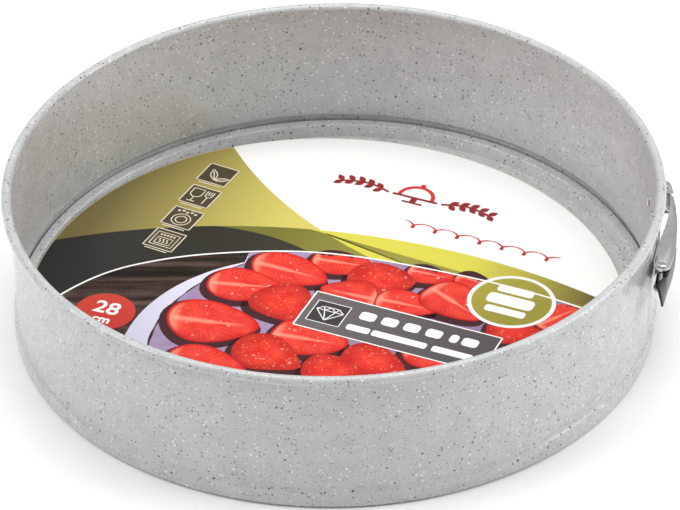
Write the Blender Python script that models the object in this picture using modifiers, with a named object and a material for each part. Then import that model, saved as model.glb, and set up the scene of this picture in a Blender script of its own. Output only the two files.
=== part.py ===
"""Springform pan, 28 cm: sprung band, loose base, lap joint and over-centre latch.

Units are metres, +Z is up, and the origin is the centre of the base's underside.
The band is one strip on the real pan. Here it is five rigid arcs on vertical hinge
lines, so that it can relax outwards when the lever opens. Azimuths are in degrees,
counter-clockwise from +X, and the latch stands on the +X side.
"""

import math

import bmesh
import bpy
from mathutils import Matrix, Vector

# ---- overall sizes -------------------------------------------------------
INNER_RADIUS = 0.1400          # inside of the straight wall: the nominal 28 cm
PAN_HEIGHT = 0.0695            # top of the rolled rim
CLEARANCE = 0.0003             # gap between pieces that touch on the real pan
OVERLAP = 0.0001               # how far shapes run into each other where they join
FINE_OVERLAP = 0.00003         # the same between thin faces
CUT_PAST = 0.0020              # how far a cutter runs past the piece it cuts

# ---- band ----------------------------------------------------------------
SHEET = 0.0005                 # thickness of the band's steel
BAND_BOTTOM = 0.0004           # lowest edge of the band above the table
ROLL_RADIUS = 0.00225          # outside of the rolled rim's tube
ROLL_SEGMENTS = 12
ROLL_TURN = 305.0              # how far the rim curls round
CHANNEL_DEPTH = 0.0015         # how far the bottom channel bulges outwards
CHANNEL_TOP = 0.0100           # where the wall starts to bulge
CHANNEL_FULL_TOP = 0.0078      # top of the channel's full depth
CHANNEL_FULL_BOTTOM = 0.0030   # bottom of the channel's full depth
CHANNEL_BEND = 0.0006          # rounding at the top of the channel's full depth
CHANNEL_FOOT = 0.0012          # height over which the channel turns in to the lip
CHANNEL_FOOT_IN = 0.0005       # how far it has turned in by then
LIP_STEP = 0.0004              # inner edge of the bottom lip outside the wall's inside
SEAM_AZIMUTH = -14.0           # where the two ends of the band meet
LATCH_ARC = 45.0               # span of each end arc, from the seam to its hinge line
SIDE_ARC = 90.0                # span of each side arc
ARC_STEP = 3.75                # facet angle of the round pieces

# ---- lap tab behind the latch --------------------------------------------
TAB_END_AZIMUTH = -3.0
TAB_ROOT_AZIMUTH = -16.5
TAB_STEP_AZIMUTH = -14.45      # inside of this the tab is one with the wall
TAB_BOTTOM = 0.0130
TAB_BELOW_RIM = 0.0060         # from the rim's top to the tab's top

# ---- base plate ----------------------------------------------------------
BASE_SHEET = 0.0006
BASE_GRIP = 0.0008             # how far the flange reaches into the channel
FLANGE_HEIGHT = 0.0060         # top of the flange
FLANGE_WIDTH = 0.0037
STEP_WIDTH = 0.0024            # plan width of the slope from flange to floor
STEP_LEAN = 0.00045            # how far the sheet's upper face of the slope stands in
BEND_DROP = 0.0004             # rounding at the flange's and the floor's bends
BEND_RUN = 0.0005              # its length under the floor
EDGE_BREAK = 0.0001            # small chamfer on the flange's rim

# ---- printed card --------------------------------------------------------
CARD_MARGIN = 0.0021           # the card is this much smaller than the floor
CARD_THICKNESS = 0.0006
CARD_SHIFT = 0.0046            # the card has slid this far towards its raised edge
CARD_SHIFT_AZIMUTH = 211.0
CARD_STEPS = 72

# ---- latch, common -------------------------------------------------------
LATCH_BELOW_RIM = 0.0265       # from the rim's top to the latch's mid-height
STRIP = 0.0010                 # thickness of the lever and the link
BRACKET_PLATE = 0.0008         # thickness of the bracket bases
PIN_RADIUS = 0.00125
PIN_SEGMENTS = 16
PIN_HEAD_LIP = 0.00075         # how far the link pin's head stands past the pin
PIN_HEAD_HEIGHT = 0.0005
PIN_HEAD_EDGE = 0.0002         # straight part of the head's edge
PIN_HEAD_BEVEL = 0.0005        # plan width of the head's bevel
EAR_WALL = 0.00105             # material round a pin's hole in an ear
LAYER_GAP = 0.0004             # gap between nested ears
LATCH_BRACKET_EAR = 0.0033     # half-height over the latch bracket's ears

# ---- latch pivots --------------------------------------------------------
LEVER_PIN_Y = -0.0315
CATCH_PIN_Y = 0.0180
KNUCKLE_GAP = 0.00025          # between the link's knuckle and a rivet's head
CRANK = 0.0087                 # lever pin to link pin
OVER_CENTRE = 3.0              # degrees that the link pin lies past the dead centre

# ---- lever ---------------------------------------------------------------
LEVER_LEAN = 14.0              # degrees from the -Y direction
LEVER_STAND_OFF = 0.0039       # lever pin to the middle of the lever's back
LEVER_LENGTH = 0.0265          # lever pin to the tip of the tail
LEVER_START = -0.0015          # end of the back behind the lever pin
LEVER_WEB = 0.0042             # from the link pin to the end of the lever's ears
LEVER_HOLLOW_PAST = 0.0080     # how far the hollow between the ears runs past them
TAIL_START = 0.0140            # where the tail starts to widen
TAIL_HALF_HEIGHT = 0.0054
TAIL_DOME = 0.0013             # how far the tail's edges curl in
TAIL_TILT = 0.20               # the tail's top leans in by this share of its height
TIP_LENGTH = 0.0055            # length of the rounded tip
TIP_BLUNT = 0.00016            # flat left at the very end of the tip
DOME_START = 0.0126            # where the tail starts to dome and to tilt
DOME_RUN = 0.0080              # length over which it does
STRAIGHT_ROWS = 6
TAIL_ROWS = 12
LEVER_COLUMNS = 8

# ---- link ----------------------------------------------------------------
LINK_FACE_PAST_PIN = 0.0025    # outer face of the link outside the catch pin's circle
LINK_EAR_GAP = 0.0007          # inner edge of the link's ears over the latch bracket's base
LINK_WIDE_AZIMUTH = -7.5       # from here to the front the ears keep that width
LINK_REAR_AZIMUTH = 4.6
LINK_BACK_END_AZIMUTH = -5.0   # the link's back ends here and leaves two arms
LINK_END_RADIUS = 0.0034
EYE_SLACK_ALONG = 0.0022       # room in the eye for the opened linkage
EYE_SLACK_INWARD = 0.0018
EYE_CORNER = 0.0012            # corner radius of the eye
KNUCKLE_CORNER = 0.0020        # corner radius of the knuckle round it
NECK_BACK = 2.5                # degrees that the knuckle's neck laps the link's back
LEAF_STEPS = 8

# ---- brackets and rivets -------------------------------------------------
LATCH_BASE_AZIMUTHS = (-13.9, -4.4)
CATCH_BASE_AZIMUTHS = (0.8, 10.4)
CATCH_EAR_Y = (0.0147, 0.0242)
CATCH_EAR_PAST_PIN = 0.0032    # edge of the ears outside the catch pin's circle
CATCH_EAR_CORNER = 0.0030
CATCH_EAR_STEP = 0.0002        # the catch's ears are this much lower than the link's
LATCH_BASE_HALF_HEIGHT = 0.0044
LATCH_RIVET_AZIMUTHS = (-6.1, -9.0)
CATCH_RIVET_AZIMUTHS = (2.2, 7.0)
RIVET_RADIUS = 0.0013
RIVET_HEAD_RADIUS = 0.0023
RIVET_HEAD_HEIGHT = 0.0008
RIVET_FOOT_HEIGHT = 0.0005     # the flat head on the inside
RIVET_FOOT_BEVEL = 0.0005
RIVET_CROWN_RADIUS = 0.0014    # flat of the domed head
RIVET_CROWN_DROP = 0.00016
RIVET_EDGE = 0.0002            # straight part of the head's edge

# ---- derived places ------------------------------------------------------
WALL_MIDDLE = INNER_RADIUS + SHEET / 2
WALL_OUTER = INNER_RADIUS + SHEET
LIP_RADIUS = INNER_RADIUS + LIP_STEP
TAB_TOP = PAN_HEIGHT - TAB_BELOW_RIM
LATCH_HEIGHT = PAN_HEIGHT - LATCH_BELOW_RIM
BASE_EDGE = INNER_RADIUS + BASE_GRIP
FLANGE_INNER = BASE_EDGE - FLANGE_WIDTH
FLOOR_RADIUS = FLANGE_INNER - STEP_WIDTH
CARD_RADIUS = FLOOR_RADIUS - CARD_MARGIN
TAB_INNER = WALL_OUTER + CLEARANCE
TAB_OUTER = TAB_INNER + SHEET
LATCH_BASE_INNER = TAB_OUTER + CLEARANCE
LATCH_BASE_OUTER = LATCH_BASE_INNER + BRACKET_PLATE
CATCH_BASE_INNER = WALL_OUTER + CLEARANCE
CATCH_BASE_OUTER = CATCH_BASE_INNER + BRACKET_PLATE
LEVER_EAR = LATCH_BRACKET_EAR + CLEARANCE + STRIP
LINK_EAR = LEVER_EAR + LAYER_GAP + STRIP
CATCH_EAR = LINK_EAR - CATCH_EAR_STEP
KNUCKLE_HALF_HEIGHT = CATCH_EAR - BRACKET_PLATE - LAYER_GAP
HOLE_RADIUS = PIN_RADIUS + CLEARANCE
PIN_HEAD_RADIUS = PIN_RADIUS + PIN_HEAD_LIP
EAR_RADIUS = HOLE_RADIUS + EAR_WALL
CATCH_RIVET_TOP = CATCH_BASE_OUTER + CLEARANCE + RIVET_HEAD_HEIGHT
LEVER_PIN_RADIUS_FROM_AXIS = LATCH_BASE_OUTER + EAR_RADIUS + CLEARANCE
CATCH_PIN_RADIUS_FROM_AXIS = CATCH_RIVET_TOP + KNUCKLE_GAP + STRIP + EYE_SLACK_INWARD + HOLE_RADIUS
CATCH_EAR_RADIUS_FROM_AXIS = CATCH_PIN_RADIUS_FROM_AXIS + CATCH_EAR_PAST_PIN
LATCH_OUTER_RADIUS = CATCH_PIN_RADIUS_FROM_AXIS + LINK_FACE_PAST_PIN
LINK_INNER_RADIUS = LATCH_BASE_OUTER + LINK_EAR_GAP


def polar(radius, azimuth, height=None):
    """Point at a radius and an azimuth in degrees, with a height if one is given."""
    x = radius * math.cos(math.radians(azimuth))
    y = radius * math.sin(math.radians(azimuth))
    return Vector((x, y)) if height is None else Vector((x, y, height))


def on_circle(radius, y):
    """Point of a circle about the pan's axis at a given y, on the +X side."""
    return Vector((math.sqrt(radius * radius - y * y), y))


def turned_by(vector, degrees):
    """A plane vector turned counter-clockwise."""
    return Matrix.Rotation(math.radians(degrees), 2) @ vector


LEVER_PIN = on_circle(LEVER_PIN_RADIUS_FROM_AXIS, LEVER_PIN_Y)
CATCH_PIN = on_circle(CATCH_PIN_RADIUS_FROM_AXIS, CATCH_PIN_Y)
LINK_PIN = LEVER_PIN + CRANK * turned_by((LEVER_PIN - CATCH_PIN).normalized(), -OVER_CENTRE)


def clear_scene():
    """Remove everything that is in the scene."""
    for obj in list(bpy.data.objects):
        bpy.data.objects.remove(obj, do_unlink=True)


def make_collection(name):
    """A new collection in the scene."""
    collection = bpy.data.collections.new(name)
    bpy.context.scene.collection.children.link(collection)
    return collection


def make_material(name, colour, roughness, metallic):
    """A plain Principled material."""
    material = bpy.data.materials.new(name)
    material.use_nodes = True
    shader = material.node_tree.nodes["Principled BSDF"]
    shader.inputs["Base Color"].default_value = (*colour, 1.0)
    shader.inputs["Roughness"].default_value = roughness
    shader.inputs["Metallic"].default_value = metallic
    return material


clear_scene()
PARTS = make_collection("springform_pan")
CUTTERS = make_collection("cutters")


# ---- building blocks -----------------------------------------------------
def mesh_object(name, points, edges, faces, collection):
    """A mesh object in a collection."""
    mesh = bpy.data.meshes.new(name)
    mesh.from_pydata([tuple(p) for p in points], edges, faces)
    mesh.update()
    obj = bpy.data.objects.new(name, mesh)
    collection.objects.link(obj)
    return obj


def profile_object(name, profile, collection):
    """A profile of (radius, height) points as a chain of edges in the XZ plane."""
    points = [(radius, 0.0, height) for radius, height in profile]
    edges = [(i, i + 1) for i in range(len(points) - 1)]
    return mesh_object(name, points, edges, [], collection)


def add_screw(obj, degrees, steps):
    """Turn a profile about Z."""
    screw = obj.modifiers.new("Turn", "SCREW")
    screw.axis = "Z"
    screw.angle = math.radians(degrees)
    screw.steps = steps
    screw.render_steps = steps
    screw.use_merge_vertices = True
    screw.merge_threshold = 0.00002
    return screw


def add_thickness(obj, thickness):
    """Give an open surface its sheet thickness, half to each side."""
    solid = obj.modifiers.new("Sheet", "SOLIDIFY")
    solid.thickness = thickness
    solid.offset = 0.0
    solid.use_even_offset = True
    solid.use_rim = True
    return solid


def turned_solid(name, profile, steps, collection):
    """A turned solid from a profile that starts and ends on the axis."""
    obj = profile_object(name, profile, collection)
    add_screw(obj, 360.0, steps)
    return obj


def frozen(obj, name, collection):
    """A plain mesh of what an object evaluates to, which replaces that object."""
    bpy.context.view_layer.update()
    evaluated = obj.evaluated_get(bpy.context.evaluated_depsgraph_get())
    mesh = bpy.data.meshes.new_from_object(evaluated)
    mesh.transform(obj.matrix_world)
    work = bmesh.new()
    work.from_mesh(mesh)
    bmesh.ops.remove_doubles(work, verts=work.verts, dist=0.00001)
    work.to_mesh(mesh)
    work.free()
    bpy.data.objects.remove(obj, do_unlink=True)
    solid = bpy.data.objects.new(name, mesh)
    collection.objects.link(solid)
    return solid


def plate(name, outline, bottom, top, collection):
    """A flat outline extruded from one height to another."""
    curve = bpy.data.curves.new(name + "_outline", "CURVE")
    curve.dimensions = "2D"
    curve.fill_mode = "BOTH"
    curve.extrude = (top - bottom) / 2
    spline = curve.splines.new("POLY")
    spline.points.add(len(outline) - 1)
    for point, (x, y) in zip(spline.points, outline):
        point.co = (x, y, 0.0, 1.0)
    spline.use_cyclic_u = True
    obj = bpy.data.objects.new(name + "_outline", curve)
    collection.objects.link(obj)
    obj.location.z = (top + bottom) / 2
    return frozen(obj, name, collection)


def cylinder(name, radius, start, end, segments, collection):
    """A cylinder from one point to another."""
    mesh = bpy.data.meshes.new(name)
    work = bmesh.new()
    axis = Vector(end) - Vector(start)
    bmesh.ops.create_cone(work, cap_ends=True, segments=segments, radius1=radius,
                          radius2=radius, depth=axis.length)
    turn = Vector((0.0, 0.0, 1.0)).rotation_difference(axis).to_matrix().to_4x4()
    middle = (Vector(start) + Vector(end)) / 2
    bmesh.ops.transform(work, matrix=Matrix.Translation(middle) @ turn, verts=work.verts)
    work.to_mesh(mesh)
    work.free()
    obj = bpy.data.objects.new(name, mesh)
    collection.objects.link(obj)
    return obj


def upright(name, radius, centre, bottom, top, collection=CUTTERS):
    """A vertical cylinder about a plane point."""
    return cylinder(name, radius, (*centre, bottom), (*centre, top), PIN_SEGMENTS, collection)


def combine(obj, other, operation):
    """Join another solid to an object, or cut it away, with a live Boolean."""
    boolean = obj.modifiers.new(operation.title() + " " + other.name, "BOOLEAN")
    boolean.operation = operation
    boolean.object = other
    other.hide_render = True
    other.display_type = "WIRE"
    return boolean


def arc(radius, first, last, step=ARC_STEP / 3):
    """Points of an arc about the pan's axis, both ends included."""
    count = max(1, round(abs(last - first) / step))
    return [polar(radius, first + (last - first) * i / count) for i in range(count + 1)]


def ring_strip(inner, outer, first, last):
    """Outline of a strip between two radii and two azimuths."""
    return arc(outer, first, last) + arc(inner, last, first)


def round_end(centre, radius, first, last, count=8):
    """Points of an arc about a plane point, from one direction to another."""
    turns = [first + (last - first) * i / count for i in range(count + 1)]
    return [centre + polar(radius, turn) for turn in turns]


def azimuth_of(point):
    """Azimuth of a plane point in degrees."""
    return math.degrees(math.atan2(point.y, point.x))


def finish(obj, material):
    """Dress an object and shade its round faces smooth."""
    obj.data.materials.clear()
    obj.data.materials.append(material)
    if obj.data.polygons:
        obj.data.shade_smooth()
        obj.data.set_sharp_from_angle(angle=math.radians(30))
    for modifier in obj.modifiers:
        if modifier.type == "SCREW":
            modifier.use_smooth_shade = True


def joint_empty(name, point):
    """An empty on a joint's axis."""
    empty = bpy.data.objects.new(name, None)
    empty.empty_display_size = 0.01
    empty.location = point
    PARTS.objects.link(empty)
    return empty


def hang(child, parent):
    """Parent an object without moving it."""
    bpy.context.view_layer.update()
    child.parent = parent
    child.matrix_parent_inverse = parent.matrix_world.inverted()


# ---- band ----------------------------------------------------------------
def band_profile():
    """Middle line of the band's sheet, from the curled rim's edge down to the bottom lip."""
    tube = ROLL_RADIUS - SHEET / 2
    centre_radius = WALL_MIDDLE + tube
    centre_height = PAN_HEIGHT - ROLL_RADIUS
    points = []
    for i in range(ROLL_SEGMENTS + 1):
        turn = math.radians(180.0 - ROLL_TURN * (1.0 - i / ROLL_SEGMENTS))
        points.append((centre_radius + tube * math.cos(turn),
                       centre_height + tube * math.sin(turn)))
    full = WALL_MIDDLE + CHANNEL_DEPTH
    slope_middle = (CHANNEL_TOP + CHANNEL_FULL_TOP - CHANNEL_BEND) / 2
    points.append((WALL_MIDDLE, CHANNEL_TOP))
    points.append((full - CHANNEL_BEND, slope_middle))
    points.append((full, CHANNEL_FULL_TOP - CHANNEL_BEND))
    points.append((full, CHANNEL_FULL_BOTTOM))
    points.append((full - CHANNEL_FOOT_IN, BAND_BOTTOM + CHANNEL_FOOT))
    points.append((LIP_RADIUS + SHEET / 2, BAND_BOTTOM + SHEET / 2))
    return points


def band_arc(name, first, last):
    """One rigid arc of the band between two azimuths, short of each by half a gap."""
    trim = math.degrees(CLEARANCE / 2 / WALL_MIDDLE)
    obj = profile_object(name, band_profile(), PARTS)
    span = (last - first) - 2 * trim
    add_screw(obj, span, round((last - first) / ARC_STEP))
    add_thickness(obj, SHEET)
    obj.rotation_euler.z = math.radians(first + trim)
    return frozen(obj, name, PARTS)


def lap_tab(front_end):
    """Add the lap tab, stepped outwards by a sheet, to the band's front end."""
    outline = arc(TAB_OUTER, TAB_ROOT_AZIMUTH, TAB_END_AZIMUTH)
    outline += arc(TAB_INNER, TAB_END_AZIMUTH, TAB_STEP_AZIMUTH)
    outline += arc(WALL_MIDDLE, TAB_STEP_AZIMUTH, TAB_ROOT_AZIMUTH)
    tab = plate("tab_strip", outline, TAB_BOTTOM, TAB_TOP, CUTTERS)
    combine(front_end, tab, "UNION")


# ---- base and card -------------------------------------------------------
def base_plate():
    """The loose bottom: a recessed floor, a steep step and a flat flange."""
    underside = FLANGE_HEIGHT - BASE_SHEET
    profile = [
        (0.0, BASE_SHEET),
        (FLOOR_RADIUS - STEP_LEAN, BASE_SHEET),
        (FLANGE_INNER - STEP_LEAN, FLANGE_HEIGHT - BEND_DROP),
        (FLANGE_INNER, FLANGE_HEIGHT),
        (BASE_EDGE - EDGE_BREAK, FLANGE_HEIGHT),
        (BASE_EDGE, FLANGE_HEIGHT - BASE_SHEET / 2),
        (BASE_EDGE - EDGE_BREAK, underside),
        (FLANGE_INNER, underside),
        (FLOOR_RADIUS, BEND_DROP),
        (FLOOR_RADIUS - BEND_RUN, 0.0),
        (0.0, 0.0),
    ]
    return turned_solid("base_plate", profile, round(360 / ARC_STEP), PARTS)


def insert_card():
    """The printed card, leaning with one edge on the base's flange."""
    half = CARD_THICKNESS / 2
    profile = [(0.0, half), (CARD_RADIUS, half), (CARD_RADIUS, -half), (0.0, -half)]
    obj = turned_solid("insert_card", profile, CARD_STEPS, PARTS)
    raised = FLANGE_HEIGHT + CLEARANCE + half
    lowered = BASE_SHEET + CLEARANCE + half
    slope = math.atan((raised - lowered) / (2 * CARD_RADIUS))
    turn = Matrix.Rotation(math.radians(CARD_SHIFT_AZIMUTH), 4, "Z")
    tilt = Matrix.Rotation(-slope, 4, "Y")
    place = polar(CARD_SHIFT, CARD_SHIFT_AZIMUTH, (raised + lowered) / 2)
    obj.matrix_world = Matrix.Translation(place) @ turn @ tilt
    return obj


# ---- brackets ------------------------------------------------------------
def latch_bracket():
    """Front bracket: a base on the lap tab with two ears for the lever pin."""
    first, last = LATCH_BASE_AZIMUTHS
    low, high = LATCH_HEIGHT - LATCH_BASE_HALF_HEIGHT, LATCH_HEIGHT + LATCH_BASE_HALF_HEIGHT
    body = plate("latch_bracket", ring_strip(LATCH_BASE_INNER, LATCH_BASE_OUTER, first, last),
                 low, high, PARTS)
    outward = azimuth_of(LEVER_PIN)
    side = polar(EAR_RADIUS, outward + 90)
    root = polar(LATCH_BASE_INNER + BRACKET_PLATE / 2, outward)
    outline = [root + side, root - side]
    outline += round_end(LEVER_PIN, EAR_RADIUS, outward - 90, outward + 90)
    ears = plate("latch_ears", outline, LATCH_HEIGHT - LATCH_BRACKET_EAR,
                 LATCH_HEIGHT + LATCH_BRACKET_EAR, CUTTERS)
    combine(body, ears, "UNION")
    inside = LATCH_BRACKET_EAR - STRIP
    gap = plate("latch_ear_gap", ring_strip(LATCH_BASE_OUTER + OVERLAP, LATCH_OUTER_RADIUS,
                                            first - 2, last + 2),
                LATCH_HEIGHT - inside, LATCH_HEIGHT + inside, CUTTERS)
    combine(body, gap, "DIFFERENCE")
    hole = upright("lever_pin_hole", HOLE_RADIUS, LEVER_PIN, LATCH_HEIGHT - LINK_EAR,
                   LATCH_HEIGHT + LINK_EAR)
    combine(body, hole, "DIFFERENCE")
    return body


def catch_bracket():
    """Rear bracket: a base on the wall with two ears for the catch pin."""
    first, last = CATCH_BASE_AZIMUTHS
    low, high = LATCH_HEIGHT - CATCH_EAR, LATCH_HEIGHT + CATCH_EAR
    body = plate("catch_bracket", ring_strip(CATCH_BASE_INNER, CATCH_BASE_OUTER, first, last),
                 low, high, PARTS)
    front, rear = CATCH_EAR_Y
    root = CATCH_BASE_INNER + BRACKET_PLATE / 2
    front_tip = on_circle(CATCH_EAR_RADIUS_FROM_AXIS, front)
    corner = on_circle(CATCH_EAR_RADIUS_FROM_AXIS - CATCH_EAR_CORNER, rear - CATCH_EAR_CORNER)
    outline = [on_circle(root, front), front_tip]
    outline += [on_circle(CATCH_EAR_RADIUS_FROM_AXIS, (front + rear - CATCH_EAR_CORNER) / 2)]
    outline += round_end(corner, CATCH_EAR_CORNER, azimuth_of(corner), 90.0)
    outline += [on_circle(root, rear)]
    ears = plate("catch_ears", outline, low + FINE_OVERLAP, high - FINE_OVERLAP, CUTTERS)
    combine(body, ears, "UNION")
    inside = CATCH_EAR - BRACKET_PLATE
    gap = plate("catch_ear_gap", ring_strip(CATCH_BASE_OUTER + OVERLAP,
                                            CATCH_EAR_RADIUS_FROM_AXIS + CUT_PAST,
                                            first - 2, last + 4),
                LATCH_HEIGHT - inside, LATCH_HEIGHT + inside, CUTTERS)
    combine(body, gap, "DIFFERENCE")
    hole = upright("catch_pin_hole", HOLE_RADIUS, CATCH_PIN, low - CUT_PAST, high + CUT_PAST)
    combine(body, hole, "DIFFERENCE")
    return body


# ---- lever ---------------------------------------------------------------
LEVER_ALONG = Vector((-math.sin(math.radians(LEVER_LEAN)), -math.cos(math.radians(LEVER_LEAN))))
LEVER_OUT = Vector((-LEVER_ALONG.y, LEVER_ALONG.x))


def lever_point(along, out):
    """Plane point in the lever's own directions from the lever pin."""
    return LEVER_PIN + LEVER_ALONG * along + LEVER_OUT * out


def smooth_step(value):
    """Smooth rise from 0 to 1."""
    value = min(1.0, max(0.0, value))
    return value * value * (3.0 - 2.0 * value)


def tail_half_height(along):
    """Half-height of the lever's back: the ears' height, a wider tail and a round tip."""
    widening = smooth_step((along - TAIL_START) / (TIP_LENGTH))
    half = LEVER_EAR + (TAIL_HALF_HEIGHT - LEVER_EAR) * widening
    into_tip = (along - (LEVER_LENGTH - TIP_LENGTH)) / TIP_LENGTH
    if into_tip > 0:
        half *= math.sqrt(max(0.0, 1.0 - into_tip ** 2))
    return half


def lever_back():
    """The lever's back and its domed tail, as a sheet."""
    rows = [LEVER_START + (TAIL_START - LEVER_START) * i / STRAIGHT_ROWS
            for i in range(STRAIGHT_ROWS)]
    tail_length = LEVER_LENGTH - TIP_BLUNT - TAIL_START
    rows += [TAIL_START + tail_length * math.sin(math.pi / 2 * i / TAIL_ROWS)
             for i in range(TAIL_ROWS + 1)]
    points = []
    for along in rows:
        half = tail_half_height(along)
        shaped = smooth_step((along - DOME_START) / DOME_RUN)
        for j in range(LEVER_COLUMNS + 1):
            height = half * (2 * j / LEVER_COLUMNS - 1)
            curl = TAIL_DOME * (height / TAIL_HALF_HEIGHT) ** 2 + TAIL_TILT * height
            place = lever_point(along, LEVER_STAND_OFF - shaped * curl)
            points.append((place.x, place.y, LATCH_HEIGHT + height))
    width = LEVER_COLUMNS + 1
    faces = []
    for i in range(len(rows) - 1):
        for j in range(LEVER_COLUMNS):
            corner = i * width + j
            faces.append((corner, corner + 1, corner + width + 1, corner + width))
    obj = mesh_object("lever_back", points, [], faces, PARTS)
    add_thickness(obj, STRIP)
    return frozen(obj, "lever", PARTS)


def lever():
    """The lever: a back with a tail, and two ears that hold both pins."""
    body = lever_back()
    back = LEVER_STAND_OFF
    link_pin = LINK_PIN - LEVER_PIN
    web_end = link_pin.dot(LEVER_ALONG) + LEVER_WEB
    outline = [lever_point(LEVER_START + OVERLAP, back)]
    outline += round_end(LEVER_PIN, EAR_RADIUS, azimuth_of(LEVER_OUT) + 60,
                         azimuth_of(LEVER_OUT) + 180, 8)
    outline += round_end(LINK_PIN, EAR_RADIUS, azimuth_of(LEVER_OUT) + 180,
                         azimuth_of(LEVER_OUT) + 290, 8)
    outline += [lever_point(web_end, back)]
    ears = plate("lever_ears", outline, LATCH_HEIGHT - LEVER_EAR + FINE_OVERLAP,
                 LATCH_HEIGHT + LEVER_EAR - FINE_OVERLAP, CUTTERS)
    inside = LEVER_EAR - STRIP
    past = LEVER_HOLLOW_PAST
    hollow_top = back - STRIP / 2 - FINE_OVERLAP
    hollow = [lever_point(-past, -past), lever_point(web_end + past, -past),
              lever_point(web_end + past, hollow_top), lever_point(-past, hollow_top)]
    gap = plate("lever_gap", hollow, LATCH_HEIGHT - inside, LATCH_HEIGHT + inside, CUTTERS)
    combine(ears, gap, "DIFFERENCE")
    ears = frozen(ears, "lever_ear_pair", CUTTERS)
    combine(body, ears, "UNION")
    for name, centre in (("lever_hole_front", LEVER_PIN), ("lever_hole_link", LINK_PIN)):
        hole = upright(name, HOLE_RADIUS, centre, LATCH_HEIGHT - LINK_EAR, LATCH_HEIGHT + LINK_EAR)
        combine(body, hole, "DIFFERENCE")
    return body


# ---- link ----------------------------------------------------------------
LINK_ALONG = (CATCH_PIN - LINK_PIN).normalized()
LINK_OUT = Vector((LINK_ALONG.y, -LINK_ALONG.x))


def eye_point(along, out):
    """Plane point in the link's own directions from the catch pin."""
    return CATCH_PIN + LINK_ALONG * along + LINK_OUT * out


def rounded_box(first_along, last_along, first_out, last_out, corner, count=4):
    """Outline of a rounded rectangle in the link's own directions."""
    middles = [(last_along - corner, last_out - corner), (first_along + corner, last_out - corner),
               (first_along + corner, first_out + corner), (last_along - corner, first_out + corner)]
    points = []
    for quarter, (along, out) in enumerate(middles):
        for i in range(count + 1):
            turn = math.radians(90 * (quarter + i / count))
            points.append(eye_point(along + corner * math.cos(turn), out + corner * math.sin(turn)))
    return points


def link_ears_outline():
    """Leaf-shaped outline of the link's ears, narrow at the rear and round at the front."""
    front = azimuth_of(LINK_PIN)
    outline = arc(LATCH_OUTER_RADIUS, LINK_REAR_AZIMUTH, front)
    outline += round_end(LINK_PIN, LINK_END_RADIUS, front - 10, front - 170, 10)
    outline += arc(LINK_INNER_RADIUS, front, LINK_WIDE_AZIMUTH)
    narrowing = LATCH_OUTER_RADIUS - STRIP - OVERLAP - LINK_INNER_RADIUS
    span = LINK_REAR_AZIMUTH - LINK_WIDE_AZIMUTH
    for i in range(1, LEAF_STEPS + 1):
        share = i / LEAF_STEPS
        outline.append(polar(LINK_INNER_RADIUS + narrowing * share, LINK_WIDE_AZIMUTH + span * share))
    return outline


def link():
    """The link: two leaf-shaped ears, a short back, and a knuckle round the catch pin."""
    low, high = LATCH_HEIGHT - LINK_EAR, LATCH_HEIGHT + LINK_EAR
    body = plate("link", link_ears_outline(), low, high, PARTS)
    inside = LINK_EAR - STRIP
    back_inner = LATCH_OUTER_RADIUS - STRIP
    front = azimuth_of(LINK_PIN) - 10
    pocket = arc(back_inner, LINK_REAR_AZIMUTH + 2, LINK_BACK_END_AZIMUTH)
    pocket += arc(LATCH_OUTER_RADIUS + CUT_PAST, LINK_BACK_END_AZIMUTH, front)
    pocket += arc(LATCH_BASE_INNER, front, LINK_REAR_AZIMUTH + 2)
    gap = plate("link_gap", pocket, LATCH_HEIGHT - inside, LATCH_HEIGHT + inside, CUTTERS)
    combine(body, gap, "DIFFERENCE")
    eye_low = -HOLE_RADIUS
    eye_high = HOLE_RADIUS + EYE_SLACK_ALONG
    eye_in = -HOLE_RADIUS - EYE_SLACK_INWARD
    eye_out = HOLE_RADIUS
    outer = rounded_box(eye_low - STRIP, eye_high + STRIP, eye_in - STRIP, eye_out + STRIP,
                        KNUCKLE_CORNER)
    knuckle = plate("link_knuckle", outer, LATCH_HEIGHT - KNUCKLE_HALF_HEIGHT,
                    LATCH_HEIGHT + KNUCKLE_HALF_HEIGHT, CUTTERS)
    neck_start = eye_point(0.0, eye_out + STRIP)
    neck_inner = eye_point(0.0, eye_out + OVERLAP)
    lead = polar(LATCH_OUTER_RADIUS - OVERLAP, LINK_REAR_AZIMUTH - NECK_BACK)
    lead_inner = polar(back_inner + OVERLAP, LINK_REAR_AZIMUTH - NECK_BACK)
    neck = plate("link_neck", [neck_start, lead, lead_inner, neck_inner],
                 LATCH_HEIGHT - KNUCKLE_HALF_HEIGHT + OVERLAP,
                 LATCH_HEIGHT + KNUCKLE_HALF_HEIGHT - OVERLAP, CUTTERS)
    combine(body, neck, "UNION")
    combine(body, knuckle, "UNION")
    eye = plate("link_eye", rounded_box(eye_low, eye_high, eye_in, eye_out, EYE_CORNER),
                low, high, CUTTERS)
    combine(body, eye, "DIFFERENCE")
    hole = upright("link_hole", HOLE_RADIUS, LINK_PIN, low - CUT_PAST, high + CUT_PAST)
    combine(body, hole, "DIFFERENCE")
    return body


# ---- pins and rivets -----------------------------------------------------
def plain_pin(name, centre, half_length):
    """A plain upright pin."""
    return upright(name, PIN_RADIUS, centre, LATCH_HEIGHT - half_length,
                   LATCH_HEIGHT + half_length, PARTS)


def headed_pin():
    """The link pin, with a low head over each of the link's ears."""
    shoulder = LINK_EAR + CLEARANCE
    top = shoulder + PIN_HEAD_HEIGHT
    half = [(0.0, top), (PIN_HEAD_RADIUS - PIN_HEAD_BEVEL, top),
            (PIN_HEAD_RADIUS, shoulder + PIN_HEAD_EDGE), (PIN_HEAD_RADIUS, shoulder),
            (PIN_RADIUS, shoulder)]
    profile = half + [(radius, -height) for radius, height in reversed(half)]
    obj = turned_solid("link_pin", profile, PIN_SEGMENTS, PARTS)
    obj.location = (*LINK_PIN, LATCH_HEIGHT)
    return obj


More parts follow.
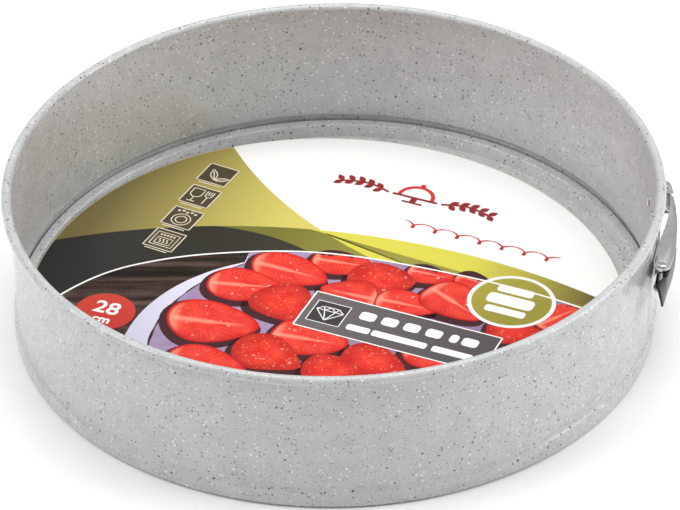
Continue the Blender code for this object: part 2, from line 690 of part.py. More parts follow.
def rivet(name, azimuth, inner_end, plate_outer, inner_head):
    """A rivet along a radius, with a domed outer head and, if asked, a flat inner one."""
    seat = plate_outer + CLEARANCE
    top = seat + RIVET_HEAD_HEIGHT
    profile = [(0.0, top), (RIVET_CROWN_RADIUS, top - RIVET_CROWN_DROP),
               (RIVET_HEAD_RADIUS, seat + RIVET_EDGE), (RIVET_HEAD_RADIUS, seat),
               (RIVET_RADIUS, seat)]
    if inner_head:
        below = inner_end - CLEARANCE
        bottom = below - RIVET_FOOT_HEIGHT
        profile += [(RIVET_RADIUS, below), (RIVET_HEAD_RADIUS, below),
                    (RIVET_HEAD_RADIUS - RIVET_FOOT_BEVEL, bottom), (0.0, bottom)]
    else:
        profile += [(RIVET_RADIUS, inner_end), (0.0, inner_end)]
    obj = turned_solid(name, profile, PIN_SEGMENTS, PARTS)
    obj.location = (0.0, 0.0, LATCH_HEIGHT)
    obj.rotation_euler = (0.0, math.radians(90), math.radians(azimuth))
    return obj


def rivet_hole(pieces, name, azimuth):
    """A radial hole for a rivet through each of the given pieces."""
    hole = cylinder(name, RIVET_RADIUS + CLEARANCE,
                    polar(INNER_RADIUS - CUT_PAST, azimuth, LATCH_HEIGHT),
                    polar(LATCH_BASE_OUTER + CUT_PAST, azimuth, LATCH_HEIGHT), PIN_SEGMENTS, CUTTERS)
    for piece in pieces:
        combine(piece, hole, "DIFFERENCE")


# ---- assembly ------------------------------------------------------------
def build():
    """Build every piece, dress it and hang it on its joint."""
    coating = make_material("speckled_coating", (0.47, 0.48, 0.46), 0.35, 0.0)
    steel = make_material("plated_steel", (0.62, 0.63, 0.62), 0.25, 1.0)
    dark_steel = make_material("dark_steel", (0.16, 0.17, 0.17), 0.3, 1.0)
    print_finish = make_material("printed_card", (0.75, 0.70, 0.62), 0.4, 0.0)

    rear_hinge = SEAM_AZIMUTH + LATCH_ARC
    back_side = band_arc("band_back_side", rear_hinge, rear_hinge + SIDE_ARC)
    back_end = band_arc("band_back_end", SEAM_AZIMUTH, rear_hinge)
    front_hinge = SEAM_AZIMUTH - LATCH_ARC
    front_side = band_arc("band_front_side", front_hinge - SIDE_ARC, front_hinge)
    front_end = band_arc("band_front_end", front_hinge, SEAM_AZIMUTH)
    rear = band_arc("band_rear", rear_hinge + SIDE_ARC, front_hinge - SIDE_ARC + 360)
    lap_tab(front_end)

    base = base_plate()
    card = insert_card()
    latch = latch_bracket()
    catch = catch_bracket()
    handle = lever()
    fork = link()
    lever_pin = plain_pin("lever_pin", LEVER_PIN, LEVER_EAR)
    catch_pin = plain_pin("catch_pin", CATCH_PIN, CATCH_EAR)
    link_pin = headed_pin()

    latch_rivets = []
    catch_rivets = []
    for side, latch_azimuth, catch_azimuth in zip(("rear", "front"), LATCH_RIVET_AZIMUTHS,
                                                  reversed(CATCH_RIVET_AZIMUTHS)):
        latch_rivets.append(rivet("latch_rivet_" + side, latch_azimuth,
                                  TAB_INNER, LATCH_BASE_OUTER, False))
        rivet_hole((front_end, latch), "latch_hole_" + side, latch_azimuth)
        catch_rivets.append(rivet("catch_rivet_" + side, catch_azimuth,
                                  INNER_RADIUS, CATCH_BASE_OUTER, True))
        rivet_hole((back_end, catch), "catch_hole_" + side, catch_azimuth)

    for piece in (rear, back_side, back_end, front_side, front_end, base):
        finish(piece, coating)
    for piece in (latch, catch, fork, catch_pin, link_pin, *latch_rivets, *catch_rivets):
        finish(piece, steel)
    for piece in (handle, lever_pin):
        finish(piece, dark_steel)
    finish(card, print_finish)

    slide = joint_empty("band_slide", polar(WALL_MIDDLE, SEAM_AZIMUTH + 180, 0.0))
    back_1 = joint_empty("back_side_hinge", polar(WALL_MIDDLE, rear_hinge + SIDE_ARC, 0.0))
    back_2 = joint_empty("back_end_hinge", polar(WALL_MIDDLE, rear_hinge, 0.0))
    front_1 = joint_empty("front_side_hinge", polar(WALL_MIDDLE, front_hinge - SIDE_ARC, 0.0))
    front_2 = joint_empty("front_end_hinge", polar(WALL_MIDDLE, front_hinge, 0.0))
    lever_axis = joint_empty("lever_axis", (*LEVER_PIN, LATCH_HEIGHT))
    link_axis = joint_empty("link_axis", (*LINK_PIN, LATCH_HEIGHT))
    for child, parent in ((back_1, slide), (back_2, back_1), (front_1, slide), (front_2, front_1),
                          (lever_axis, front_2), (link_axis, lever_axis),
                          (rear, slide), (back_side, back_1), (front_side, front_1),
                          (handle, lever_axis), (link_pin, lever_axis), (fork, link_axis)):
        hang(child, parent)
    for child in (back_end, catch, catch_pin, *catch_rivets):
        hang(child, back_2)
    for child in (front_end, latch, lever_pin, *latch_rivets):
        hang(child, front_2)


build()
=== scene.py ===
"""Finished looks of a 28 cm springform pan.

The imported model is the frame. The band, base, printed card and latch are rebuilt here at
a fine scale and dressed with procedural finishes. Lengths are metres, +Z is up, and
azimuths are degrees, counter-clockwise from +X. The latch stands on the +X side.
"""

import logging
import math
import random
from dataclasses import dataclass, field
from enum import IntEnum

import bmesh
import bpy
from mathutils import Matrix, Vector, geometry


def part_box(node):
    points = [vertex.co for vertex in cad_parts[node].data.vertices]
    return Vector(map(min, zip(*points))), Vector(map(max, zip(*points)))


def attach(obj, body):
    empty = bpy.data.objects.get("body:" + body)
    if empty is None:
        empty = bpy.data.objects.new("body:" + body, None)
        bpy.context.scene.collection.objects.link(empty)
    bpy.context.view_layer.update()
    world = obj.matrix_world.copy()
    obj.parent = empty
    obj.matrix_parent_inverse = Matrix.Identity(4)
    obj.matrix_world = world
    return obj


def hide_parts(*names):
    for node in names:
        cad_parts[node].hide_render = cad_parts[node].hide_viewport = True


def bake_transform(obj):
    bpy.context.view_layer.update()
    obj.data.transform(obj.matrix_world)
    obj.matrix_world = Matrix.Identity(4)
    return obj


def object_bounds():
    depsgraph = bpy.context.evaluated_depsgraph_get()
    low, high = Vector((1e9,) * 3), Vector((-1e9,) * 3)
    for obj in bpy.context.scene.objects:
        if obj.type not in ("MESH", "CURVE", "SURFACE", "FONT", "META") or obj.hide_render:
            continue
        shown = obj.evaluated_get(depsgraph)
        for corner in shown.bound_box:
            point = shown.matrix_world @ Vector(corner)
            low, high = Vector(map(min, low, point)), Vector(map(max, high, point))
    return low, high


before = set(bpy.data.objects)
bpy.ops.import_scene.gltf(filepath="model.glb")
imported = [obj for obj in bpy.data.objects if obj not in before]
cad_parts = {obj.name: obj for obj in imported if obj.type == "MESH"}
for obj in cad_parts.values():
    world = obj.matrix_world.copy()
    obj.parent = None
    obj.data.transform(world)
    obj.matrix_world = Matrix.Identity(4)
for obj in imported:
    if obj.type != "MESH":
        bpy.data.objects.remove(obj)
CAD_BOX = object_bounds()
LOG = logging.getLogger("springform_pan")
MM = 0.001
Colour = tuple[float, float, float, float]
Point = tuple[float, float]


def srgb(red: int, green: int, blue: int) -> Colour:
    """A linear colour from 0 to 255 display values.

    Args:
        red: red from 0 to 255.
        green: green from 0 to 255.
        blue: blue from 0 to 255.

    Returns:
        The linear colour with full alpha.
    """
    linear = [(c / 255 / 12.92) if c <= 10 else ((c / 255 + 0.055) / 1.055) ** 2.4
              for c in (red, green, blue)]
    return (*linear, 1.0)


def polar(radius: float, azimuth: float, height: float = 0.0) -> Vector:
    """A point at a radius, an azimuth in degrees and a height."""
    turn = math.radians(azimuth)
    return Vector((radius * math.cos(turn), radius * math.sin(turn), height))


def smooth(value: float) -> float:
    """A smooth rise from 0 to 1."""
    value = min(1.0, max(0.0, value))
    return value * value * (3.0 - 2.0 * value)


# ---- shader expressions --------------------------------------------------------------
class Number:
    """A shader value on which Python's operators build Math nodes."""

    def __init__(self, maker: "NodeMaker", socket: bpy.types.NodeSocket) -> None:
        """Keep the node maker and the socket that holds the value."""
        self.maker = maker
        self.socket = socket

    def math(self, operation: str, first: object, second: object, clamp: bool = False) -> "Number":
        """One Math node on two values.

        Args:
            operation: the Math node's operation.
            first: first operand.
            second: second operand.
            clamp: hold the result between 0 and 1.

        Returns:
            The node's result.
        """
        made = self.maker.node("ShaderNodeMath", {"operation": operation, "use_clamp": clamp},
                               {0: first, 1: second})
        return Number(self.maker, made.outputs[0])

    def __add__(self, other: object) -> "Number":
        """Sum."""
        return self.math("ADD", self, other)

    __radd__ = __add__

    def __sub__(self, other: object) -> "Number":
        """Difference."""
        return self.math("SUBTRACT", self, other)

    def __rsub__(self, other: object) -> "Number":
        """Reflected difference."""
        return self.math("SUBTRACT", other, self)

    def __mul__(self, other: object) -> "Number":
        """Product."""
        return self.math("MULTIPLY", self, other)

    __rmul__ = __mul__

    def __truediv__(self, other: object) -> "Number":
        """Quotient."""
        return self.math("DIVIDE", self, other)

    def __pow__(self, other: object) -> "Number":
        """Power."""
        return self.math("POWER", self, other)

    def clamped(self) -> "Number":
        """The value held between 0 and 1."""
        return self.math("ADD", self, 0.0, clamp=True)

    def step(self, start: float, width: float) -> "Number":
        """A clamped ramp from 0 at start to 1 at start plus width."""
        return ((self - start) / width).clamped()


class NodeMaker:
    """Adds nodes to one node tree."""

    def __init__(self, tree: bpy.types.NodeTree) -> None:
        """Keep the tree."""
        self.tree = tree

    def node(self, kind: str, settings: dict[str, object], values: dict[object, object]) -> bpy.types.Node:
        """Add a node, set its settings first, then its sockets.

        Args:
            kind: the node's type.
            settings: its properties; the key "stops" fills a colour ramp.
            values: socket names or numbers with a value, a Number or a socket.

        Returns:
            The new node.
        """
        made = self.tree.nodes.new(kind)
        for name, value in settings.items():
            if name == "stops":
                self.fill_ramp(made.color_ramp, value)
            else:
                setattr(made, name, value)
        for name, value in values.items():
            if isinstance(value, Number):
                self.tree.links.new(value.socket, made.inputs[name])
            elif isinstance(value, bpy.types.NodeSocket):
                self.tree.links.new(value, made.inputs[name])
            else:
                made.inputs[name].default_value = value
        return made

    @staticmethod
    def fill_ramp(ramp: bpy.types.ColorRamp, stops: list[tuple[float, Colour]]) -> None:
        """Give a colour ramp its stops.

        Args:
            ramp: the colour ramp.
            stops: (position, colour) pairs in order.
        """
        while len(ramp.elements) < len(stops):
            ramp.elements.new(0.5)
        for element, (place, colour) in zip(ramp.elements, stops):
            element.position = place
            element.color = colour

    def mix(self, share: object, first: object, second: object) -> bpy.types.NodeSocket:
        """A colour between two colours."""
        made = self.node("ShaderNodeMix", {"data_type": "RGBA"}, {0: share, 6: first, 7: second})
        return made.outputs[2]

    def noise(self, place: object, scale: float, detail: float = 3.0) -> Number:
        """A noise value from 0 to 1."""
        made = self.node("ShaderNodeTexNoise", {}, {"Vector": place, "Scale": scale, "Detail": detail})
        return Number(self, made.outputs["Factor" if "Factor" in made.outputs else "Fac"])

    def place(self) -> bpy.types.NodeSocket:
        """Object coordinates."""
        return self.node("ShaderNodeTexCoord", {}, {}).outputs["Object"]

    def stretched(self, scale: tuple[float, float, float], shift: float = 0.0) -> bpy.types.NodeSocket:
        """Object coordinates scaled by axis and shifted.

        Args:
            scale: scale along X, Y and Z.
            shift: shift along every axis.

        Returns:
            The mapped coordinates.
        """
        made = self.node("ShaderNodeMapping", {}, {"Vector": self.place(), "Scale": scale,
                                                   "Location": (shift, shift, shift)})
        return made.outputs[0]

    def bump(self, height: object, strength: float, distance: float) -> bpy.types.NodeSocket:
        """A bumped normal.

        Args:
            height: the relief.
            strength: how much of the relief shows.
            distance: height of the relief in metres.

        Returns:
            The normal.
        """
        made = self.node("ShaderNodeBump", {}, {"Strength": strength, "Distance": distance,
                                                "Height": height})
        return made.outputs[0]


def shader_for(name: str) -> tuple[bpy.types.Material, NodeMaker, bpy.types.Node]:
    """A new material, its node maker and its Principled shader.

    Args:
        name: the material's name.

    Returns:
        The material, its node maker and its Principled shader.
    """
    material = bpy.data.materials.new(name)
    material.use_nodes = True
    return material, NodeMaker(material.node_tree), material.node_tree.nodes["Principled BSDF"]


def feed(maker: NodeMaker, shader: bpy.types.Node, values: dict[str, object]) -> None:
    """Set or link a shader's sockets.

    Args:
        maker: node maker of the shader's tree.
        shader: the Principled shader.
        values: socket names with a number, a colour or a socket.
    """
    for name, value in values.items():
        if isinstance(value, (Number, bpy.types.NodeSocket)):
            socket = value.socket if isinstance(value, Number) else value
            maker.tree.links.new(socket, shader.inputs[name])
        else:
            shader.inputs[name].default_value = value


# ---- finishes ------------------------------------------------------------------------
@dataclass(frozen=True)
class Specks:
    """One population of round specks, one at most in each cell."""

    cell: float
    share: float
    smallest: float
    largest: float
    softness: float
    strength: float
    colour: Colour
    shift: float

    def mask(self, maker: NodeMaker) -> Number:
        """Where the specks are, from 0 to 1.

        Args:
            maker: node maker of the material.

        Returns:
            The mask.
        """
        scale = 1.0 / self.cell
        made = maker.node("ShaderNodeTexVoronoi", {"feature": "F1"},
                          {"Vector": maker.stretched((scale, scale, scale), self.shift), "Scale": 1.0})
        parts = maker.node("ShaderNodeSeparateColor", {}, {0: made.outputs["Color"]})
        pick = Number(maker, parts.outputs[0])
        size = Number(maker, parts.outputs[1])
        depth = Number(maker, parts.outputs[2])
        radius = size * (self.largest - self.smallest) + self.smallest
        inside = ((radius - Number(maker, made.outputs["Distance"])) / self.softness).clamped()
        present = (self.share - pick).step(0.0, 0.01)
        return inside * present * (depth * 0.6 + 0.4) * self.strength


@dataclass(frozen=True)
class SpeckledCoating:
    """Satin stone-look coating: warm grey with dark and pale specks."""

    name: str = "speckled_coating"
    ground: Colour = srgb(192, 194, 194)
    cloud: Colour = srgb(180, 183, 183)
    roughness: float = 0.30
    specks: tuple[Specks, ...] = (
        Specks(0.0023, 0.85, 0.16, 0.32, 0.10, 0.85, srgb(236, 237, 235), 3.1),
        Specks(0.0013, 0.65, 0.18, 0.32, 0.08, 0.95, srgb(90, 94, 95), 7.7),
        Specks(0.0025, 0.75, 0.14, 0.26, 0.05, 1.00, srgb(60, 65, 68), 1.3),
        Specks(0.0080, 0.80, 0.05, 0.10, 0.02, 1.00, srgb(46, 50, 54), 5.9),
    )

    def material(self) -> bpy.types.Material:
        """Build the material.

        Returns:
            The coating.
        """
        material, maker, shader = shader_for(self.name)
        place = maker.place()
        cloud = maker.noise(place, 130.0).step(0.35, 0.3)
        grain = maker.noise(place, 1500.0, 2.0)
        colour = maker.mix(cloud * 0.8, self.ground, self.cloud)
        colour = maker.mix(grain.step(0.55, 0.2) * 0.18, colour, srgb(140, 143, 141))
        relief = grain * 0.35
        for layer in self.specks:
            mask = layer.mask(maker)
            colour = maker.mix(mask, colour, layer.colour)
            relief = relief + mask * 0.4
        ripple = maker.noise(place, 420.0, 2.0)
        feed(maker, shader, {
            "Base Color": colour, "Metallic": 0.0,
            "Roughness": cloud * 0.05 + ripple * 0.10 + (self.roughness - 0.08),
            "Coat Weight": 0.35, "Coat Roughness": 0.16,
            "Normal": maker.bump(relief + ripple * 0.9, 0.35, 0.00006)})
        return material


@dataclass(frozen=True)
class PressedSteel:
    """Pressed strip steel with fine rolling marks and rubbed high spots."""

    name: str
    colour: Colour
    stain: Colour
    roughness: float
    streak: float

    def material(self) -> bpy.types.Material:
        """Build the material.

        Returns:
            The steel.
        """
        material, maker, shader = shader_for(self.name)
        lines = maker.noise(maker.stretched((420.0, 420.0, 6500.0)), 1.0, 4.0)
        patch = maker.noise(maker.place(), 260.0)
        fine = maker.noise(maker.place(), 2600.0, 2.0)
        colour = maker.mix(patch.step(0.45, 0.25) * 0.6, self.colour, self.stain)
        colour = maker.mix(lines.step(0.5, 0.3) * self.streak, colour, self.stain)
        feed(maker, shader, {
            "Base Color": colour, "Metallic": 1.0,
            "Roughness": lines * 0.16 + patch * 0.10 + (self.roughness - 0.13),
            "Normal": maker.bump(lines * 0.6 + fine * 0.25, 0.20, 0.00003)})
        return material


@dataclass(frozen=True)
class Ink:
    """Printed ink, plain or fading from one colour to another along a direction."""

    name: str
    near: Colour
    far: Colour | None = None
    toward: float = 0.0
    start: float = 0.0
    width: float = 1.0
    mottle: float = 0.05

    def material(self) -> bpy.types.Material:
        """Build the material; the card's UV map holds its own coordinates in metres.

        Returns:
            The printed ink.
        """
        material, maker, shader = shader_for("ink_" + self.name)
        place = maker.node("ShaderNodeUVMap", {"uv_map": "card"}, {}).outputs[0]
        parts = maker.node("ShaderNodeSeparateXYZ", {}, {0: place})
        x, y = Number(maker, parts.outputs[0]), Number(maker, parts.outputs[1])
        along = x * math.cos(math.radians(self.toward)) + y * math.sin(math.radians(self.toward))
        fade = along.step(self.start, self.width)
        colour = maker.mix(fade, self.near, self.far or self.near)
        fibre = maker.noise(place, 900.0, 4.0)
        colour = maker.mix(fibre.step(0.4, 0.4) * self.mottle, colour, srgb(60, 55, 48))
        feed(maker, shader, {
            "Base Color": colour, "Roughness": fibre * 0.10 + 0.30, "Coat Weight": 0.10,
            "Coat Roughness": 0.12, "Specular IOR Level": 0.3, "Normal": maker.bump(fibre, 0.06, 0.00004)})
        return material


@dataclass(frozen=True)
class MottledInk(Ink):
    """A printed picture's soft background, such as wood or glaze."""

    grain: tuple[float, float] = (60.0, 260.0)
    patch: Colour = srgb(60, 40, 35)
    amount: float = 0.6

    def material(self) -> bpy.types.Material:
        """Build the material from the plain ink's, with a stretched mottle over it.

        Returns:
            The mottled ink.
        """
        material = super().material()
        maker = NodeMaker(material.node_tree)
        shader = material.node_tree.nodes["Principled BSDF"]
        under = shader.inputs["Base Color"].links[0].from_socket
        place = maker.node("ShaderNodeUVMap", {"uv_map": "card"}, {}).outputs[0]
        turned = maker.node("ShaderNodeMapping", {}, {"Vector": place,
                                                      "Rotation": (0.0, 0.0, math.radians(25)),
                                                      "Scale": (*self.grain, 1.0)})
        cloud = maker.noise(turned.outputs[0], 1.0, 5.0).step(0.42, 0.22)
        feed(maker, shader, {"Base Color": maker.mix(cloud * self.amount, under, self.patch)})
        return material


@dataclass(frozen=True)
class BerryFlesh:
    """Cut or whole strawberry: red flesh, pale veins about a core, and wet highlights."""

    name: str
    cut: bool

    def material(self) -> bpy.types.Material:
        """Build the material; the fruit's UV map runs from -1 to 1 along and across it.

        Returns:
            The fruit's finish.
        """
        material, maker, shader = shader_for(self.name)
        place = maker.node("ShaderNodeUVMap", {"uv_map": "fruit"}, {}).outputs[0]
        card = maker.node("ShaderNodeUVMap", {"uv_map": "card"}, {}).outputs[0]
        parts = maker.node("ShaderNodeSeparateXYZ", {}, {0: place})
        u, v = Number(maker, parts.outputs[0]), Number(maker, parts.outputs[1])
        radius = (u * u + v * v) ** 0.5
        cloud = maker.noise(card, 150.0, 4.0)
        flesh = maker.mix(cloud.step(0.35, 0.35), srgb(214, 34, 28), srgb(232, 66, 48))
        if self.cut:
            angle = maker.node("ShaderNodeMath", {"operation": "ARCTAN2"}, {0: v, 1: u + 0.25})
            turn = Number(maker, angle.outputs[0])
            wave = maker.node("ShaderNodeMath", {"operation": "SINE"}, {0: turn * 38.0 + cloud * 9.0})
            rays = Number(maker, wave.outputs[0]).step(0.25, 0.7)
            ring = radius.step(0.18, 0.25) * (1.0 - radius.step(0.72, 0.2))
            flesh = maker.mix(rays * ring * 0.20, flesh, srgb(246, 130, 104))
            line = 1.0 - ((v * v) ** 0.5).step(0.02, 0.10)
            ends = (1.0 - (u + 0.95).step(1.2, 0.5)) * (u + 0.95).step(0.05, 0.1)
            flesh = maker.mix(line * ends * 0.50, flesh, srgb(250, 176, 150))
            pale = (1.0 - (u + 1.0).step(0.0, 0.32)) * 0.75
            flesh = maker.mix(pale, flesh, srgb(246, 190, 160))
            flesh = maker.mix(radius.step(0.90, 0.06), flesh, srgb(196, 20, 16))
        else:
            cell = maker.node("ShaderNodeTexVoronoi", {"feature": "F1"}, {"Vector": card, "Scale": 420.0})
            seed = 1.0 - Number(maker, cell.outputs["Distance"]).step(0.12, 0.12)
            flesh = maker.mix(radius.step(0.35, 0.75) * 0.7, flesh, srgb(150, 14, 14))
            flesh = maker.mix(seed * 0.5, flesh, srgb(240, 160, 70))
        shade = (0.0 - v).step(0.25, 0.9) * radius.step(0.4, 0.5)
        flesh = maker.mix(shade * 0.45, flesh, srgb(140, 12, 16))
        shine = maker.noise(card, 330.0, 2.0).step(0.66, 0.05) * (1.0 - radius.step(0.7, 0.2))
        flesh = maker.mix(shine * 0.45, flesh, srgb(255, 214, 200))
        feed(maker, shader, {"Base Color": flesh, "Roughness": cloud * 0.08 + 0.24,
                             "Coat Weight": 0.10, "Coat Roughness": 0.12,
                             "Specular IOR Level": 0.3})
        return material


# ---- meshes --------------------------------------------------------------------------
def link_object(name: str, mesh: bpy.types.Mesh) -> bpy.types.Object:
    """An object of a mesh, in the scene.

    Args:
        name: the object's name.
        mesh: its mesh.

    Returns:
        The new object.
    """
    made = bpy.data.objects.new(name, mesh)
    bpy.context.scene.collection.objects.link(made)
    return made


def mesh_of(name: str, points: list, faces: list) -> bpy.types.Mesh:
    """A smooth-shaded mesh of points and faces.

    Args:
        name: the mesh's name.
        points: corner points.
        faces: faces as point numbers.

    Returns:
        The new mesh.
    """
    mesh = bpy.data.meshes.new(name)
    mesh.from_pydata([tuple(p) for p in points], [], faces)
    mesh.update()
    mesh.shade_smooth()
    return mesh


def evaluated_mesh(obj: bpy.types.Object, name: str) -> bpy.types.Mesh:
    """The plain mesh of what an object evaluates to; the object is removed.

    Args:
        obj: an object with live modifiers or text.
        name: the new mesh's name.

    Returns:
        The plain mesh.
    """
    graph = bpy.context.evaluated_depsgraph_get()
    mesh = bpy.data.meshes.new_from_object(obj.evaluated_get(graph))
    mesh.name = name
    bpy.data.objects.remove(obj, do_unlink=True)
    return mesh


def face_outwards(mesh: bpy.types.Mesh) -> None:
    """Turn a closed mesh's faces outwards.

    Args:
        mesh: the closed mesh.
    """
    work = bmesh.new()
    work.from_mesh(mesh)
    inside_out = work.calc_volume(signed=True) < 0
    work.free()
    if inside_out:
        mesh.flip_normals()


def lathe(profile: list[Point], steps: int) -> tuple[list[Vector], list[tuple[int, ...]]]:
    """Turn a profile about Z; points on the axis become poles.

    Args:
        profile: (radius, height) points from one pole to the other, outer side first.
        steps: number of facets round the axis.

    Returns:
        Points and faces with their normals outwards.
    """
    points: list[Vector] = []
    rings: list[list[int]] = []
    for radius, height in profile:
        if radius < 1e-9:
            points.append(Vector((0.0, 0.0, height)))
            rings.append([len(points) - 1] * steps)
            continue
        rings.append(list(range(len(points), len(points) + steps)))
        points += [polar(radius, 360.0 * i / steps, height) for i in range(steps)]
    faces = []
    for upper, lower in zip(rings, rings[1:]):
        for i in range(steps):
            j = (i + 1) % steps
            corners = [upper[i], lower[i], lower[j], upper[j]]
            faces.append(tuple(dict.fromkeys(corners)))
    return points, faces


def rounded(profile: list[tuple[float, float, float]], count: int = 5) -> list[Point]:
    """Replace corners of a profile by arcs.

    Args:
        profile: (radius, height, corner radius) of each corner.
        count: steps in each arc.

    Returns:
        The finer profile.
    """
    points: list[Point] = []
    for i, (x, y, corner) in enumerate(profile):
        if corner == 0.0 or i in (0, len(profile) - 1):
            points.append((x, y))
            continue
        here = Vector((x, y))
        before = (Vector(profile[i - 1][:2]) - here).normalized()
        after = (Vector(profile[i + 1][:2]) - here).normalized()
        half = before.angle(after) / 2
        reach = corner / math.tan(half)
        start, end = here + before * reach, here + after * reach
        for k in range(count + 1):
            s = k / count
            curve = start * (1 - s) ** 2 + here * 2 * s * (1 - s) + end * s * s
            points.append((curve.x, curve.y))
    return points


# ---- geometry node trees -------------------------------------------------------------
class SweepTree:
    """Geometry Nodes: sweeps a closed profile along an arc about Z."""

    def __init__(self) -> None:
        """Build the tree with its named inputs."""
        self.tree = bpy.data.node_groups.new("sweep_profile_round_arc", "GeometryNodeTree")
        face = self.tree.interface
        face.new_socket("Geometry", in_out="INPUT", socket_type="NodeSocketGeometry")
        self.sockets = {
            name: face.new_socket(name, in_out="INPUT", socket_type=kind).identifier
            for name, kind in (("Profile", "NodeSocketObject"), ("Radius", "NodeSocketFloat"),
                               ("First Angle", "NodeSocketFloat"), ("Sweep Angle", "NodeSocketFloat"),
                               ("Columns", "NodeSocketInt"), ("Material", "NodeSocketMaterial"))}
        face.new_socket("Geometry", in_out="OUTPUT", socket_type="NodeSocketGeometry")
        maker = NodeMaker(self.tree)
        given = maker.node("NodeGroupInput", {}, {}).outputs
        arc = maker.node("GeometryNodeCurveArc", {"mode": "RADIUS"},
                         {"Resolution": given["Columns"], "Radius": given["Radius"],
                          "Start Angle": given["First Angle"], "Sweep Angle": given["Sweep Angle"]})
        upright = maker.node("GeometryNodeSetCurveNormal", {"mode": "Z_UP"}, {0: arc.outputs[0]})
        profile = maker.node("GeometryNodeObjectInfo", {"transform_space": "ORIGINAL"},
                             {"Object": given["Profile"]})
        swept = maker.node("GeometryNodeCurveToMesh", {},
                           {"Curve": upright.outputs[0], "Profile Curve": profile.outputs["Geometry"],
                            "Fill Caps": True})
        soft = maker.node("GeometryNodeSetShadeSmooth", {}, {0: swept.outputs[0], "Shade Smooth": True})
        real = maker.node("GeometryNodeRealizeInstances", {}, {0: soft.outputs[0]})
        dressed = maker.node("GeometryNodeSetMaterial", {},
                             {"Geometry": real.outputs[0], "Material": given["Material"]})
        maker.node("NodeGroupOutput", {}, {0: dressed.outputs[0]})

    def mesh(self, name: str, profile: list[Point], first: float, last: float, step: float,
             material: bpy.types.Material) -> bpy.types.Mesh:
        """Sweep a profile between two azimuths.

        Args:
            name: the mesh's name.
            profile: closed outline of (radius, height) points.
            first: first azimuth in degrees.
            last: last azimuth in degrees.
            step: largest facet angle in degrees.
            material: the surface's material.

        Returns:
            A closed mesh with its normals outwards.
        """
        radius = profile[0][0]
        curve = bpy.data.curves.new(name + "_profile", "CURVE")
        curve.dimensions = "2D"
        spline = curve.splines.new("POLY")
        spline.points.add(len(profile) - 1)
        for point, (r, z) in zip(spline.points, profile):
            point.co = (r - radius, -z, 0.0, 1.0)
        spline.use_cyclic_u = True
        guide = bpy.data.objects.new(name + "_profile", curve)
        bpy.context.scene.collection.objects.link(guide)
        obj = link_object(name + "_host", bpy.data.meshes.new(name + "_host"))
        modifier = obj.modifiers.new("Sweep", "NODES")
        modifier.node_group = self.tree
        columns = math.ceil((last - first) / step) + 1
        values = {"Profile": guide, "Radius": radius, "First Angle": math.radians(first),
                  "Sweep Angle": math.radians(last - first), "Columns": columns, "Material": material}
        for label, value in values.items():
            modifier[self.sockets[label]] = value
        mesh = evaluated_mesh(obj, name)
        bpy.data.objects.remove(guide, do_unlink=True)
        return mesh


class RivetTree:
    """Geometry Nodes: sets rivets at even steps round an arc, heads outwards."""

    def __init__(self) -> None:
        """Build the tree with its named inputs."""
        self.tree = bpy.data.node_groups.new("set_rivets_round_arc", "GeometryNodeTree")
        face = self.tree.interface
        face.new_socket("Geometry", in_out="INPUT", socket_type="NodeSocketGeometry")
        self.sockets = {
            name: face.new_socket(name, in_out="INPUT", socket_type=kind).identifier
            for name, kind in (("Rivet", "NodeSocketObject"), ("Count", "NodeSocketInt"),
                               ("First Angle", "NodeSocketFloat"), ("Step Angle", "NodeSocketFloat"),
                               ("Height", "NodeSocketFloat"), ("Material", "NodeSocketMaterial"))}
        face.new_socket("Geometry", in_out="OUTPUT", socket_type="NodeSocketGeometry")
        maker = NodeMaker(self.tree)
        given = maker.node("NodeGroupInput", {}, {}).outputs
        line = maker.node("GeometryNodeMeshLine", {}, {"Count": given["Count"]})
        index = Number(maker, maker.node("GeometryNodeInputIndex", {}, {}).outputs[0])
        angle = index * given["Step Angle"] + given["First Angle"]
        turn = maker.node("ShaderNodeCombineXYZ", {}, {"Z": angle})
        place = maker.node("ShaderNodeCombineXYZ", {}, {"Z": given["Height"]})
        set_place = maker.node("GeometryNodeSetPosition", {},
                               {0: line.outputs[0], "Position": place.outputs[0]})
        rivet = maker.node("GeometryNodeObjectInfo", {}, {"Object": given["Rivet"]})
        copies = maker.node("GeometryNodeInstanceOnPoints", {},
                            {"Points": set_place.outputs[0], "Instance": rivet.outputs["Geometry"],
                             "Rotation": turn.outputs[0]})
        real = maker.node("GeometryNodeRealizeInstances", {}, {0: copies.outputs[0]})
        dressed = maker.node("GeometryNodeSetMaterial", {},
                             {"Geometry": real.outputs[0], "Material": given["Material"]})
        maker.node("NodeGroupOutput", {}, {0: dressed.outputs[0]})

    def mesh(self, name: str, rivet: bpy.types.Mesh, azimuths: tuple[float, float], height: float,
             material: bpy.types.Material) -> bpy.types.Mesh:
        """Set two rivets at two azimuths and a height; the rivet lies along +X.

        Args:
            name: the mesh's name.
            rivet: one rivet, lying along +X.
            azimuths: azimuths of the two rivets in degrees.
            height: their height.
            material: their material.

        Returns:
            One mesh that holds both rivets.
        """
        guide = link_object(name + "_rivet", rivet)
        obj = link_object(name + "_host", bpy.data.meshes.new(name + "_host"))
        modifier = obj.modifiers.new("Rivets", "NODES")
        modifier.node_group = self.tree
        first, last = azimuths
        values = {"Rivet": guide, "Count": 2, "First Angle": math.radians(first),
                  "Step Angle": math.radians(last - first), "Height": height, "Material": material}
        for label, value in values.items():
            modifier[self.sockets[label]] = value
        mesh = evaluated_mesh(obj, name)
        bpy.data.objects.remove(guide, do_unlink=True)
        return mesh


